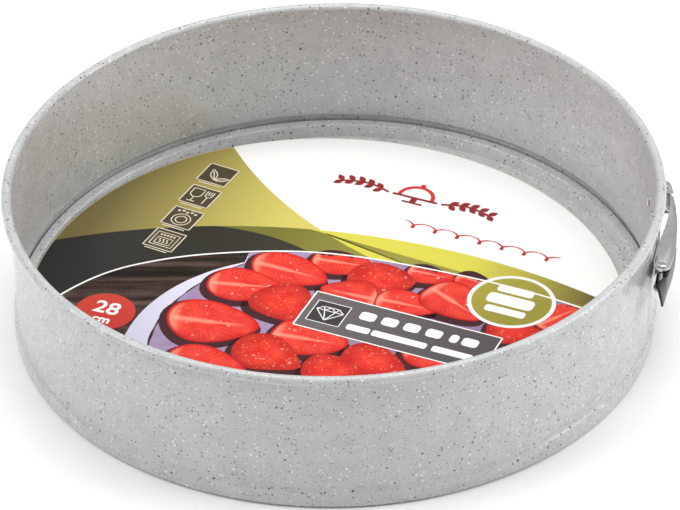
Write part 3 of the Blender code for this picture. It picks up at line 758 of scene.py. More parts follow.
# ---- band ----------------------------------------------------------------------------
@dataclass
class Band:
    """The sprung wall: a rolled rim, a straight wall, a channel and the lap tab."""

    sweep: SweepTree
    coating: bpy.types.Material
    inner_radius: float = 0.1400
    sheet: float = 0.0005
    height: float = CAD_BOX[1].z
    bottom: float = 0.0004
    roll_radius: float = 0.00225
    roll_turn: float = 305.0
    channel_depth: float = 0.0015
    channel_top: float = 0.0104
    channel_full_top: float = 0.0074
    channel_full_bottom: float = 0.0032
    lip_step: float = 0.0004
    channel_crown: float = 0.0001
    edge_round: float = 0.6
    seam: float = -14.0
    hinges: tuple[float, float, float, float] = (31.0, 121.0, 211.0, 301.0)
    seam_gap: float = 0.06
    facet: float = 1.0
    tab_first: float = -15.2
    tab_step_end: float = -13.9
    tab_last: float = -3.0
    tab_bottom: float = 0.0130
    tab_top: float = 0.0635
    tab_corner: float = 0.0040
    tab_clearance: float = 0.0003
    tab_thinning: float = 0.96
    tab_root: float = 0.45

    def middle_line(self) -> list[Point]:
        """Middle of the sheet from the curl's free edge down to the bottom lip.

        Returns:
            (radius, height) points.
        """
        wall = self.inner_radius + self.sheet / 2
        tube = self.roll_radius - self.sheet / 2
        centre = Vector((wall + tube, self.height - self.roll_radius))
        points = []
        steps = 34
        for i in range(steps + 1):
            turn = math.radians(180.0 - self.roll_turn * (1.0 - i / steps))
            points.append((centre.x + tube * math.cos(turn), centre.y + tube * math.sin(turn)))
        run = 4
        top = points[-1][1]
        points += [(wall, top + (self.channel_top - top) * i / run) for i in range(1, run + 1)]
        bend = 12
        drop = self.channel_top - self.channel_full_top
        points += [(wall + self.channel_depth * smooth(i / bend), self.channel_top - drop * i / bend)
                   for i in range(1, bend + 1)]
        full = wall + self.channel_depth
        crown = 6
        fall = self.channel_full_top - self.channel_full_bottom
        points += [(full + self.channel_crown * math.sin(math.pi * i / crown),
                    self.channel_full_top - fall * i / crown) for i in range(1, crown + 1)]
        lip = self.inner_radius + self.lip_step + self.sheet / 2
        foot = self.bottom + self.sheet / 2
        tuck = 8
        for i in range(1, tuck + 1):
            turn = math.pi / 2 * i / tuck
            points.append((full - (full - lip) * (1.0 - math.cos(turn)),
                           self.channel_full_bottom - (self.channel_full_bottom - foot) * math.sin(turn)))
        return points

    def outline(self) -> list[Point]:
        """Closed outline of the sheet's section, with round edges.

        Returns:
            (radius, height) points all round the sheet.
        """
        middle = [Vector(p) for p in self.middle_line()]
        half = self.sheet / 2
        tangents = []
        for i in range(len(middle)):
            ahead, behind = middle[min(i + 1, len(middle) - 1)], middle[max(i - 1, 0)]
            tangents.append((ahead - behind).normalized())
        left = [p + Vector((t.y, -t.x)) * half for p, t in zip(middle, tangents)]
        right = [p - Vector((t.y, -t.x)) * half for p, t in zip(middle, tangents)]
        start = middle[0] - tangents[0] * half * self.edge_round
        end = middle[-1] + tangents[-1] * half * self.edge_round
        loop = [*left, end, *reversed(right), start]
        return [(p.x, p.y) for p in loop]

    def set_normals(self, mesh: bpy.types.Mesh, outline: list[Point]) -> None:
        """Give a swept section its exact normals, so that neighbours meet without a line.

        Args:
            mesh: the swept mesh, ring after ring of the outline.
            outline: the outline that was swept.
        """
        count = len(outline)
        ring = [Vector(p) for p in outline]
        flat = []
        for i, here in enumerate(ring):
            before = (here - ring[i - 1]).normalized()
            after = (ring[(i + 1) % count] - here).normalized()
            edge = (before + after).normalized()
            flat.append(Vector((edge.y, -edge.x)))
        area = sum(a.x * b.y - b.x * a.y for a, b in zip(ring, ring[1:] + ring[:1]))
        side = 1.0 if area > 0 else -1.0
        normals = []
        for polygon in mesh.polygons:
            for corner in polygon.vertices:
                if polygon.loop_total > 4:
                    normals.append(polygon.normal)
                    continue
                place = mesh.vertices[corner].co
                turn = math.atan2(place.y, place.x)
                normal = flat[corner % count] * side
                normals.append(Vector((normal.x * math.cos(turn), normal.x * math.sin(turn), normal.y)))
        mesh.normals_split_custom_set(normals)

    def section(self, name: str, first: float, last: float) -> bpy.types.Object:
        """One stretch of the band between two azimuths.

        Args:
            name: the piece's name.
            first: first azimuth in degrees.
            last: last azimuth in degrees.

        Returns:
            The stretch, closed and with its normals outwards.
        """
        outline = self.outline()
        mesh = self.sweep.mesh(name, outline, first, last, self.facet, self.coating)
        face_outwards(mesh)
        count = len(outline)
        for azimuth, ring in ((first, 0), (last, len(mesh.vertices) - count)):
            for j, (radius, height) in enumerate(outline):
                mesh.vertices[ring + j].co = polar(radius, azimuth, height)
        self.set_normals(mesh, outline)
        return link_object(name, mesh)

    def lap_tab(self) -> bpy.types.Object:
        """The tab that laps behind the latch, stepped outwards by one sheet.

        Returns:
            The tab.
        """
        first, last = self.tab_first, self.tab_last
        low, high, corner = self.tab_bottom, self.tab_top, self.tab_corner
        inside = self.inner_radius + self.sheet * self.tab_root
        outside = self.inner_radius + self.sheet + self.tab_clearance + self.sheet / 2
        step_width = self.tab_step_end - first
        columns, rows = 40, 16
        points = []
        for i in range(columns + 1):
            azimuth = first + (last - first) * i / columns
            radius = inside + (outside - inside) * smooth((azimuth - first) / step_width)
            short = max(0.0, corner - math.radians(last - azimuth) * outside)
            cut = corner - math.sqrt(max(0.0, corner ** 2 - short ** 2))
            for j in range(rows + 1):
                share = j / rows
                points.append(polar(radius, azimuth, low + cut + (high - low - 2 * cut) * share))
        width = rows + 1
        faces = [(i * width + j, (i + 1) * width + j, (i + 1) * width + j + 1, i * width + j + 1)
                 for i in range(columns) for j in range(rows)]
        obj = link_object("band_lap_tab_sheet", mesh_of("band_lap_tab_sheet", points, faces))
        solid = obj.modifiers.new("Sheet", "SOLIDIFY")
        solid.thickness = self.sheet * self.tab_thinning
        solid.offset = 0.0
        mesh = evaluated_mesh(obj, "band_lap_tab")
        mesh.materials.append(self.coating)
        mesh.set_sharp_from_angle(angle=math.radians(40))
        return link_object("band_lap_tab", mesh)

    def build(self) -> None:
        """Make the band's stretches, each across one hinge line, and the end pieces."""
        wall = self.inner_radius
        turns = (self.seam, *self.hinges, 360.0 + self.seam)
        middles = [(a + b) / 2 for a, b in zip(turns, turns[1:])]
        stretches = (
            ("band_wall_rear_right", 1, "back_side", "rear", ("band_back_side",)),
            ("band_wall_rear_left", 2, "rear", "front_side", ("band_rear",)),
            ("band_wall_front", 3, "front_side", "front_end", ("band_front_side",)),
            ("band_wall_back", 0, "back_end", "back_side", ()),
        )
        for name, place, start_body, end_body, nodes in stretches:
            first, last = middles[place], middles[place + 1]
            piece = self.section(name, first, last)
            polar(wall, first)
            polar(wall, last)
            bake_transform(piece)
            if nodes:
                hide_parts(*nodes)
            LOG.info("made %s", name)
        ends = (("band_end_back", self.seam + self.seam_gap, middles[0], "back_end", "band_back_end"),
                ("band_end_front", middles[-1], 360.0 + self.seam - self.seam_gap, "front_end",
                 "band_front_end"))
        for name, first, last, body, node in ends:
            piece = self.section(name, first, last)
            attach(piece, body)
            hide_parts(node)
            LOG.info("made %s", name)
        tab = self.lap_tab()
        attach(tab, "front_end")
        LOG.info("made %s", tab.name)


# ---- base ----------------------------------------------------------------------------
@dataclass
class Base:
    """The loose bottom: a sunk floor, a steep step and a flat flange."""

    coating: bpy.types.Material
    edge: float = 0.1408
    sheet: float = 0.0006
    flange_height: float = 0.0060
    flange_width: float = 0.0037
    step_width: float = 0.0024
    step_lean: float = 0.00045
    upper_bend: float = 0.0007
    lower_bend: float = 0.0005
    edge_round: float = 0.00022
    floor_rings: tuple[float, float] = (0.060, 0.120)

    def build(self) -> None:
        """Turn the plate and dress it."""
        flange = self.edge - self.flange_width
        floor = flange - self.step_width
        under = self.flange_height - self.sheet
        inner_ring, outer_ring = self.floor_rings
        corners = [
            (0.0, self.sheet, 0.0),
            (inner_ring, self.sheet, 0.0),
            (outer_ring, self.sheet, 0.0),
            (floor - self.step_lean, self.sheet, self.upper_bend),
            (flange - self.step_lean, self.flange_height, self.upper_bend),
            (self.edge, self.flange_height, self.edge_round),
            (self.edge, under, self.edge_round),
            (flange, under, self.lower_bend),
            (floor, 0.0, self.lower_bend),
            (outer_ring, 0.0, 0.0),
            (0.0, 0.0, 0.0),
        ]
        points, faces = lathe(rounded(corners), 288)
        mesh = mesh_of("base_plate_turned", points, faces)
        face_outwards(mesh)
        mesh.materials.append(self.coating)
        piece = link_object("base_plate_turned", mesh)
        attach(piece, "base")
        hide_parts("base_plate")
        LOG.info("made %s", piece.name)


# ---- latch ---------------------------------------------------------------------------
@dataclass
class Latch:
    """Lever, link, brackets, pins and rivets of the over-centre latch."""

    rivets: RivetTree
    plated: bpy.types.Material
    # painted shade: a dark steel colour for the lever and its pin stands in for the shade on the lever's
    # inner face
    dark: bpy.types.Material
    height: float = 0.0430
    edge_radius: float = 0.00022
    weld: float = 0.00001
    flat_angle: float = 2.0
    bevel_angle: float = 32.0
    bevel_steps: int = 3
    plate: float = 0.0008
    clearance: float = 0.0003
    tab_inner: float = 0.1408
    tab_outer: float = 0.1413
    wall_inner: float = 0.1400
    wall_outer: float = 0.1405
    rivet_head: float = 0.0023
    rivet_shank: float = 0.0013
    rivet_rise: float = 0.0008
    rivet_foot: float = 0.0005
    rivet_bevel: float = 0.0003
    rivet_edge: float = 0.0001
    latch_rivets: tuple[float, float] = (-9.0, -6.1)
    catch_rivets: tuple[float, float] = (2.2, 7.0)

    def pressed_copy(self, node: str, name: str, body: str, material: bpy.types.Material,
                     radius: float) -> None:
        """Rebuild a CAD node as pressed metal with round edges.

        Args:
            node: the CAD node that it stands for.
            name: the new piece's name.
            body: the body that it rides on.
            material: its material.
            radius: width of the round edges.
        """
        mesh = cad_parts[node].data.copy()
        work = bmesh.new()
        work.from_mesh(mesh)
        bmesh.ops.remove_doubles(work, verts=work.verts, dist=self.weld)
        bmesh.ops.dissolve_limit(work, angle_limit=math.radians(self.flat_angle), verts=work.verts,
                                 edges=work.edges)
        work.to_mesh(mesh)
        work.free()
        mesh.shade_smooth()
        obj = link_object(name + "_source", mesh)
        bevel = obj.modifiers.new("Round edges", "BEVEL")
        bevel.width = radius
        bevel.segments = self.bevel_steps
        bevel.limit_method = "ANGLE"
        bevel.angle_limit = math.radians(self.bevel_angle)
        bevel.use_clamp_overlap = True
        bevel.harden_normals = True
        result = evaluated_mesh(obj, name)
        result.materials.clear()
        result.materials.append(material)
        piece = link_object(name, result)
        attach(piece, body)
        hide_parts(node)
        LOG.info("made %s", name)

    def rivet_mesh(self, name: str, seat: float, inner: float, foot: bool) -> bpy.types.Mesh:
        """One rivet along +X: a domed head on its seat, a shank and, if asked, a flat foot.

        Args:
            name: the mesh's name.
            seat: radius that the head sits on.
            inner: radius of the sheet's inner face.
            foot: add a flat foot inside the sheet.

        Returns:
            The rivet's closed mesh.
        """
        head, shank, rise, edge = self.rivet_head, self.rivet_shank, self.rivet_rise, self.rivet_edge
        profile: list[Point] = [(0.0, seat + rise)]
        for i in range(1, 9):
            turn = math.pi / 2 * i / 8
            profile.append((head * math.sin(turn), seat + edge + (rise - edge) * math.cos(turn)))
        profile += [(head, seat), (shank, seat)]
        if foot:
            under = inner - self.clearance
            bottom = under - self.rivet_foot
            profile += [(shank, under), (head, under), (head, (under + bottom) / 2),
                        (head - self.rivet_bevel, bottom), (0.0, bottom)]
        else:
            profile += [(shank, inner), (0.0, inner)]
        points, faces = lathe(profile, 40)
        turned = Matrix.Rotation(math.radians(90), 4, "Y")
        mesh = mesh_of(name, [turned @ p for p in points], faces)
        face_outwards(mesh)
        mesh.set_sharp_from_angle(angle=math.radians(40))
        return mesh

    def build(self) -> None:
        """Make every latch piece."""
        fine = self.edge_radius
        for node, name, body, material, slot, radius in (
                ("latch_bracket", "latch_bracket_pressed", "front_end", self.plated, "plated_steel", fine),
                ("catch_bracket", "catch_bracket_pressed", "back_end", self.plated, "plated_steel", fine),
                ("link", "link_pressed", "link", self.plated, "plated_steel", fine),
                # painted shade: the lever and its pin take the dark steel colour in place of the shade that
                # falls on the lever
                ("lever", "lever_pressed", "lever", self.dark, "dark_steel", fine),
                ("lever_pin", "lever_pin_turned", "front_end", self.dark, "dark_steel", fine),
                ("link_pin", "link_pin_turned", "lever", self.plated, "plated_steel", fine / 2),
                ("catch_pin", "catch_pin_turned", "back_end", self.plated, "plated_steel", fine)):
            self.pressed_copy(node, name, body, material, radius)
        stack = self.clearance + self.plate + self.clearance
        sets = (("latch_rivet_pair", self.latch_rivets, self.tab_outer + stack, self.tab_inner, False,
                 "front_end", ("latch_rivet_rear", "latch_rivet_front")),
                ("catch_rivet_pair", self.catch_rivets, self.wall_outer + stack, self.wall_inner, True,
                 "back_end", ("catch_rivet_rear", "catch_rivet_front")))
        for name, azimuths, seat, inner, foot, body, nodes in sets:
            rivet = self.rivet_mesh(name + "_one", seat, inner, foot)
            piece = link_object(name, self.rivets.mesh(name, rivet, azimuths, self.height, self.plated))
            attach(piece, body)
            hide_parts(*nodes)
            LOG.info("made %s", name)


# ---- printed card --------------------------------------------------------------------
class Layer(IntEnum):
    """Heights of the printed layers over the card's face, in steps."""

    FIELD = 1
    BAND = 2
    PICTURE = 5
    SAUCE = 7
    FRUIT = 10
    LABEL = 46
    LABEL_FRAME = 48
    LABEL_MARK = 50


@dataclass
class Film:
    """Flat printed shapes that become one thin closed mesh with several inks."""

    points: list = field(default_factory=list)
    faces: list = field(default_factory=list)
    inks: list = field(default_factory=list)
    slots: list = field(default_factory=list)
    fruit: list = field(default_factory=list)


@dataclass(frozen=True)
class Label:
    """A turned frame on the card, in millimetres and degrees."""

    centre: Point
    turn: float

    def to_card(self, points: list[Point]) -> list[Point]:
        """Carry points from the label's frame to the card's.

        Args:
            points: points in the label's frame.

        Returns:
            The same points in the card's frame.
        """
        c, s = math.cos(math.radians(self.turn)), math.sin(math.radians(self.turn))
        return [(self.centre[0] + x * c - y * s, self.centre[1] + x * s + y * c) for x, y in points]


@dataclass
class Card:
    """The printed card: its board and every printed shape on it, in millimetres."""

    radius: float = 132.6
    margin: float = 0.35
    thickness: float = 0.6
    tilt_toward: float = 211.0
    text_turn: float = -24.0
    layer_step: float = 0.004
    film_share: float = 0.7
    materials: dict = field(default_factory=dict)

    def __post_init__(self) -> None:
        """Work out where the card lies from the frame."""
        low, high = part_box("insert_card")
        rise = (high.z - low.z) / MM - self.thickness
        slope = math.asin(rise / (2 * self.radius))
        centre = (low + high) / 2
        turn = math.radians(self.tilt_toward)
        self.place = (Matrix.Translation(centre) @ Matrix.Rotation(turn, 4, "Z")
                      @ Matrix.Rotation(-slope, 4, "Y") @ Matrix.Rotation(-turn, 4, "Z"))
        self.film = Film()

    # -- printed shapes --
    def ink(self, ink: object) -> int:
        """Index of an ink in the current film.

        Args:
            ink: the finish to print with.

        Returns:
            The ink's number in the film.
        """
        if ink.name not in self.materials:
            self.materials[ink.name] = ink.material()
        material = self.materials[ink.name]
        if material not in self.film.slots:
            self.film.slots.append(material)
        return self.film.slots.index(material)

    def clip(self, shape: list[tuple]) -> list[tuple]:
        """Cut a shape to the printed circle; extra values after x and y are interpolated.

        Args:
            shape: closed outline; each point starts with x and y.

        Returns:
            The part inside the printed circle, empty if there is none.
        """
        limit = self.radius - self.margin
        sides = 144
        for k in range(sides):
            turn = 2 * math.pi * (k + 0.5) / sides
            nx, ny = math.cos(turn), math.sin(turn)
            reach = limit * math.cos(math.pi / sides)
            kept = []
            for i, here in enumerate(shape):
                before = shape[i - 1]
                d_here = here[0] * nx + here[1] * ny - reach
                d_before = before[0] * nx + before[1] * ny - reach
                if (d_here > 0) != (d_before > 0):
                    s = d_before / (d_before - d_here)
                    kept.append(tuple(b + (h - b) * s for b, h in zip(before, here)))
                if d_here <= 0:
                    kept.append(here)
            shape = kept
            if len(shape) < 3:
                return []
        return shape

    def shape(self, outline: list[tuple], ink: object, level: float) -> None:
        """Print one closed outline of (x, y) or (x, y, u, v) points.

        Args:
            outline: closed outline in card millimetres.
            ink: the finish to print with.
            level: layer steps over the face.
        """
        if max(math.hypot(p[0], p[1]) for p in outline) > self.radius - self.margin - 0.1:
            outline = self.clip(outline)
        if len(outline) < 3:
            return
        slot = self.ink(ink)
        first = len(self.film.points)
        lift = self.thickness / 2 + level * self.layer_step
        for p in outline:
            self.film.points.append((p[0], p[1], lift))
            self.film.fruit.append((p[2], p[3]) if len(p) > 2 else (0.0, 0.0))
        flat = [Vector((p[0], p[1], 0.0)) for p in outline]
        for a, b, c in geometry.tessellate_polygon([flat]):
            u, v = flat[b] - flat[a], flat[c] - flat[a]
            turn = u.x * v.y - u.y * v.x
            if abs(turn) < 1e-9:
                continue
            corners = (a, b, c) if turn > 0 else (a, c, b)
            self.film.faces.append(tuple(first + k for k in corners))
            self.film.inks.append(slot)

    def turned(self, outline: list[Point], centre: Point, turn: float) -> list[Point]:
        """An outline turned by degrees and moved to a centre."""
        return Label(centre, turn).to_card(outline)

    def stroke(self, path: list[Point], width: object, ink: object, level: float) -> None:
        """Print a line along a path; the width is a number or one per point.

        Args:
            path: points along the line.
            width: one width, or one for each point.
            ink: the finish to print with.
            level: layer steps over the face.
        """
        widths = width if isinstance(width, list) else [width] * len(path)
        left, right = [], []
        for i, here in enumerate(path):
            ahead, behind = path[min(i + 1, len(path) - 1)], path[max(i - 1, 0)]
            dx, dy = ahead[0] - behind[0], ahead[1] - behind[1]
            size = math.hypot(dx, dy) or 1.0
            nx, ny = -dy / size * widths[i] / 2, dx / size * widths[i] / 2
            left.append((here[0] + nx, here[1] + ny))
            right.append((here[0] - nx, here[1] - ny))
        for i in range(len(path) - 1):
            self.shape([right[i], right[i + 1], left[i + 1], left[i]], ink, level)

    @staticmethod
    def arc(centre: Point, radius: float, first: float, last: float, count: int = 40) -> list[Point]:
        """Points on an arc, in degrees."""
        turns = [math.radians(first + (last - first) * i / count) for i in range(count + 1)]
        return [(centre[0] + radius * math.cos(t), centre[1] + radius * math.sin(t)) for t in turns]

    @staticmethod
    def box(width: float, height: float) -> list[Point]:
        """A rectangle about the origin."""
        x, y = width / 2, height / 2
        return [(-x, -y), (x, -y), (x, y), (-x, y)]

    def frame_line(self, outline: list[Point], width: float, ink: object, level: float) -> None:
        """Print a closed line round an outline.

        Args:
            outline: corners of the frame.
            width: line width.
            ink: the finish to print with.
            level: layer steps over the face.
        """
        closed = [*outline, outline[0]]
        for a, b in zip(closed, closed[1:]):
            dx, dy = b[0] - a[0], b[1] - a[1]
            size = math.hypot(dx, dy)
            ex, ey = dx / size * width / 2, dy / size * width / 2
            self.stroke([(a[0] - ex, a[1] - ey), (b[0] + ex, b[1] + ey)], width, ink, level)

    def finish_film(self, name: str) -> None:
        """Turn the collected shapes into a thin closed piece on the card.

        Args:
            name: the piece's name.
        """
        film, self.film = self.film, Film()
        count = len(film.points)
        depth = self.layer_step * self.film_share
        points = film.points + [(x, y, z - depth) for x, y, z in film.points]
        edges: dict[tuple[int, int], int] = {}
        for face in film.faces:
            for a, b in zip(face, face[1:] + face[:1]):
                edges[(a, b)] = edges.get((a, b), 0) + 1
        faces = list(film.faces)
        inks = list(film.inks)
        owner = {}
        for face, ink in zip(film.faces, film.inks):
            for a, b in zip(face, face[1:] + face[:1]):
                owner[(a, b)] = ink
        faces += [tuple(count + k for k in reversed(face)) for face in film.faces]
        inks += film.inks
        for a, b in edges:
            if (b, a) not in edges:
                faces.append((b, a, a + count, b + count))
                inks.append(owner[(a, b)])
        mesh = bpy.data.meshes.new(name)
        mesh.from_pydata([self.place @ (Vector(p) * MM) for p in points], [], faces)
        for material in film.slots:
            mesh.materials.append(material)
        mesh.polygons.foreach_set("material_index", inks)
        card_map = mesh.uv_layers.new(name="card")
        fruit_map = mesh.uv_layers.new(name="fruit")
        for loop in mesh.loops:
            x, y, _ = points[loop.vertex_index]
            card_map.data[loop.index].uv = (x * MM, y * MM)
            fruit_map.data[loop.index].uv = film.fruit[loop.vertex_index % count]
        mesh.update()
        piece = link_object(name, mesh)
        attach(piece, "card")
        LOG.info("made %s", name)

    # -- the board and its fields --
    def board(self) -> None:
        """The white board with its round cut edge."""
        half = self.thickness / 2
        corners = [(0.0, half, 0.0), (60.0, half, 0.0), (self.radius, half, 0.12),
                   (self.radius, -half, 0.12), (60.0, -half, 0.0), (0.0, -half, 0.0)]
        points, faces = lathe(rounded(corners, 3), 288)
        mesh = mesh_of("card_board", [self.place @ (p * MM) for p in points], faces)
        face_outwards(mesh)
        mesh.set_sharp_from_angle(angle=math.radians(35))
        uv = mesh.uv_layers.new(name="card")
        for loop in mesh.loops:
            p = points[loop.vertex_index]
            uv.data[loop.index].uv = (p.x * MM, p.y * MM)
        mesh.materials.append(Ink("board", srgb(222, 208, 182), mottle=0.12).material())
        piece = link_object("card_board", mesh)
        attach(piece, "card")
        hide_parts("insert_card")
        LOG.info("made %s", piece.name)

    BANNER_CENTRE = (31.0, -21.3)
    STICKER_CENTRE = (82.0, 0.5)
    ORNAMENT_CENTRE = (42.0, 84.0)
    SCROLL_CENTRE = (70.0, 47.5)
    DISC_CENTRE = (-98.0, -6.0)
    PLATE_CURVE = ((-12.0, -43.6), 79.2)
    GLAZE_CURVE = ((2.0, -40.6), 81.0)
    WHITE_CURVE = ((166.0, 202.0), 222.0)
    BAND_CURVE = ((-46.5, -212.0), 272.5)
    BLACK_CURVE = ((-64.0, -22.0), 83.6)
    PICTURE_TOP = ((-128.0, -4.0), (-112.0, 13.0), (-96.0, 25.0), (-78.0, 32.5), (-57.0, 37.5),
                   (-30.0, 40.0), (-8.0, 39.5), (15.0, 35.5), (40.0, 28.0), (70.0, 17.0),
                   (100.0, 3.0), (130.0, -15.0))

    def fields(self) -> None:
        """White, olive, yellow-green and black colour fields."""
        white = Ink("white", srgb(250, 249, 247), srgb(240, 239, 236), -90.0, -0.10, 0.18, 0.02)
        olive = Ink("olive", srgb(112, 100, 52), srgb(208, 196, 100), -18.0, -0.118, 0.085)
        lime = Ink("lime", srgb(214, 206, 76), srgb(88, 72, 38), -20.0, 0.052, 0.062)
        shade = Ink("olive_shade", srgb(112, 110, 42), srgb(150, 144, 58), -25.0, -0.045, 0.06)
        black = Ink("black", srgb(28, 28, 24), srgb(56, 54, 38), 0.0, -0.10, 0.12)
        circle = self.arc((0.0, 0.0), self.radius, 0.0, 360.0, 180)[:-1]
        self.shape(circle, white, Layer.FIELD)
        curve, radius = self.WHITE_CURVE
        edge = self.arc(curve, radius, 150.0, 236.0, 70)
        self.shape([*edge, (40.0, -170.0), (-170.0, -170.0), (-170.0, 200.0)], olive,
                   Layer.FIELD + 1)
        band, band_radius = self.BAND_CURVE
        top = self.arc(band, band_radius, 30.0, 116.0, 80)
        self.shape([*top, (-170.0, -60.0), (190.0, -60.0)], lime, Layer.BAND + 1)
        crossing = [p for p in edge if math.dist(p, band) < band_radius]
        under = [p for p in top if math.dist(p, curve) > radius]
        self.shape([*crossing, (40.0, -60.0), (-170.0, -60.0), *reversed(under)], shade,
                   Layer.BAND + 2)
        dark, dark_radius = self.BLACK_CURVE
        hill = [p for p in self.arc(dark, dark_radius, 20.0, 100.0, 60) if math.dist(p, band) < band_radius]
        left = [p for p in top if p[0] < hill[-1][0]]
        self.shape([*hill, *left, (-170.0, -60.0), (0.0, -60.0)], black, Layer.BAND + 3)
        self.finish_film("card_print_fields")

    def smooth_line(self, knots: tuple, steps: int = 6) -> list[Point]:
        """A smooth curve through chosen points.

        Args:
            knots: points that the curve passes through.
            steps: steps between two points.

        Returns:
            Points along the curve.
        """
        ends = [knots[0], *knots, knots[-1]]
        points = []
        for k in range(len(knots) - 1):
            p0, p1, p2, p3 = (Vector(ends[k + j]) for j in range(4))
            for i in range(steps):
                t = i / steps
                p = 0.5 * ((2 * p1) + (p2 - p0) * t + (2 * p0 - 5 * p1 + 4 * p2 - p3) * t * t
                           + (3 * p1 - p0 - 3 * p2 + p3) * t ** 3)
                points.append((p.x, p.y))
        points.append(tuple(knots[-1]))
        return points

    def picture(self) -> None:
        """The fruit picture: wood, plate, sauce lines and strawberries under a white line."""
        wood = MottledInk("wood", srgb(120, 96, 88), srgb(96, 74, 66), 0.0, -0.12, 0.1)
        glaze = MottledInk("glaze", srgb(172, 152, 184), srgb(150, 128, 160), -60.0, -0.08, 0.12,
                           grain=(40.0, 90.0), patch=srgb(126, 104, 142), amount=0.45)
        rim = Ink("plate_rim", srgb(196, 192, 214), srgb(232, 230, 242), 30.0, -0.10, 0.10)
        sauce = Ink("sauce", srgb(58, 26, 28))
        line = Ink("white_line", srgb(248, 247, 244), mottle=0.02)
        top = self.smooth_line(self.PICTURE_TOP)
        rest = self.arc((0.0, 0.0), self.radius + 8, -8.0, -176.0, 60)
        self.shape([*top, *rest], wood, Layer.PICTURE)
        below = [(x, y) for x, y in top if x > -38.0]
        edge = self.arc(*self.PLATE_CURVE, 108.0, 250.0, 60)
        self.shape([*edge, (60.0, -150.0), (150.0, -150.0), *reversed(below)], rim, Layer.PICTURE + 1)
        inner = self.arc(*self.GLAZE_CURVE, 118.0, 236.0, 60)
        self.shape([*inner, (60.0, -150.0), (150.0, -150.0), *reversed(below)], glaze,
                   Layer.SAUCE)
        line_path = self.arc(*self.GLAZE_CURVE, 118.0, 200.0, 60)
        widths = [0.5 + 0.9 * smooth(i / 60) + 0.35 * math.sin(i * 0.9) * smooth(i / 20) for i in range(61)]
        self.stroke(line_path, widths, sauce, Layer.SAUCE + 1)
        self.stroke(top, 1.0, line, Layer.LABEL - 3)
        self.finish_film("card_print_picture")

    FRUIT = (
        # x, y, length, width, direction of the tip, cut
        (8, 31, 30, 19, -15, True), (47, 22, 22, 16, -20, True), (-16, 25, 37, 24, -24, True),
        (25, 18, 30, 25, -10, False), (-36, 14, 34, 24, -8, True), (10, 7, 27, 22, 160, True),
        (68, 16, 22, 15, -30, True), (87, 7, 20, 14, -22, False), (35, -1, 28, 20, -20, True),
        (103, -10, 26, 17, 35, True), (-19, 0, 29, 27, -60, False), (57, 0, 34, 24, -48, True),
        (-50, -14, 42, 30, -12, True), (-8, -27, 36, 25, -16, True), (82, -22, 26, 18, -10, False),
        (-26, -38, 33, 25, -35, False), (20, -44, 30, 23, -25, False), (-53, -46, 38, 26, -20, True),
        (2, -50, 27, 22, -8, False), (48, -40, 32, 22, -30, True), (74, -46, 28, 22, 12, True),
        (98, -38, 28, 20, -70, False), (-30, -68, 36, 26, 14, True), (8, -76, 38, 28, -18, True),
        (44, -70, 34, 26, -40, False), (76, -76, 34, 24, 20, True), (-2, -104, 36, 26, -6, True),
        (36, -104, 34, 26, 22, True), (-38, -96, 32, 25, -28, False), (64, -104, 28, 22, -50, True),
    )

    def fruit(self) -> None:
        """Halved and whole strawberries, each over its own dark shadow."""
        cut = BerryFlesh("fruit_cut", True)
        whole = BerryFlesh("fruit_whole", False)
        shadow = Ink("fruit_shadow", srgb(62, 22, 28))
        chance = random.Random(28)
        steps = 36
        rings = (0.0, 0.3, 0.55, 0.75, 0.9, 0.96, 1.0)
        for number, (x, y, length, width, turn, is_cut) in enumerate(self.FRUIT):
            level = Layer.FRUIT + number
            wobble = [chance.uniform(-0.035, 0.035) for _ in range(3)]
            phase = [chance.uniform(0.0, 2 * math.pi) for _ in range(3)]
            edge = []
            for k in range(steps):
                t = 2 * math.pi * k / steps
                bulge = 1.0 + sum(w * math.sin((i + 2) * t + p)
                                  for i, (w, p) in enumerate(zip(wobble, phase)))
                along = math.cos(t) * length / 2 * bulge
                across = math.sin(t) * width / 2 * bulge * (1.0 - 0.36 * math.cos(t))
                edge.append((along, across, math.cos(t), math.sin(t)))
            base = self.turned([(p[0] * 1.10, p[1] * 1.14) for p in edge], (x - 1.4, y - 2.6), turn)
            self.shape(base, shadow, Layer.FRUIT - 1.5)
            for inner, outer in zip(rings, rings[1:]):
                for k in range(steps):
                    a, b = edge[k], edge[(k + 1) % steps]
                    corners = [(a, inner), (a, outer), (b, outer), (b, inner)]
                    corners = corners[1:] if inner == 0.0 else corners
                    flat = self.turned([(p[0] * s, p[1] * s) for p, s in corners], (x, y), turn)
                    if self.hidden(flat):
                        continue
                    cell = [(fx, fy, p[2] * s, p[3] * s) for (fx, fy), (p, s) in zip(flat, corners)]
                    self.shape(cell, cut if is_cut else whole, level)
        self.finish_film("card_print_fruit")

    def hidden(self, flat: list[Point]) -> bool:
        """True where a shape would stand above the picture's top line.

        Args:
            flat: corners of the shape.

        Returns:
            Whether any corner stands above the line.
        """
        knots = self.PICTURE_TOP
        for x, y in flat:
            for (x0, y0), (x1, y1) in zip(knots, knots[1:]):
                if x0 <= x < x1 and y > y0 + (y1 - y0) * (x - x0) / (x1 - x0) + 0.4:
                    return True
        return False

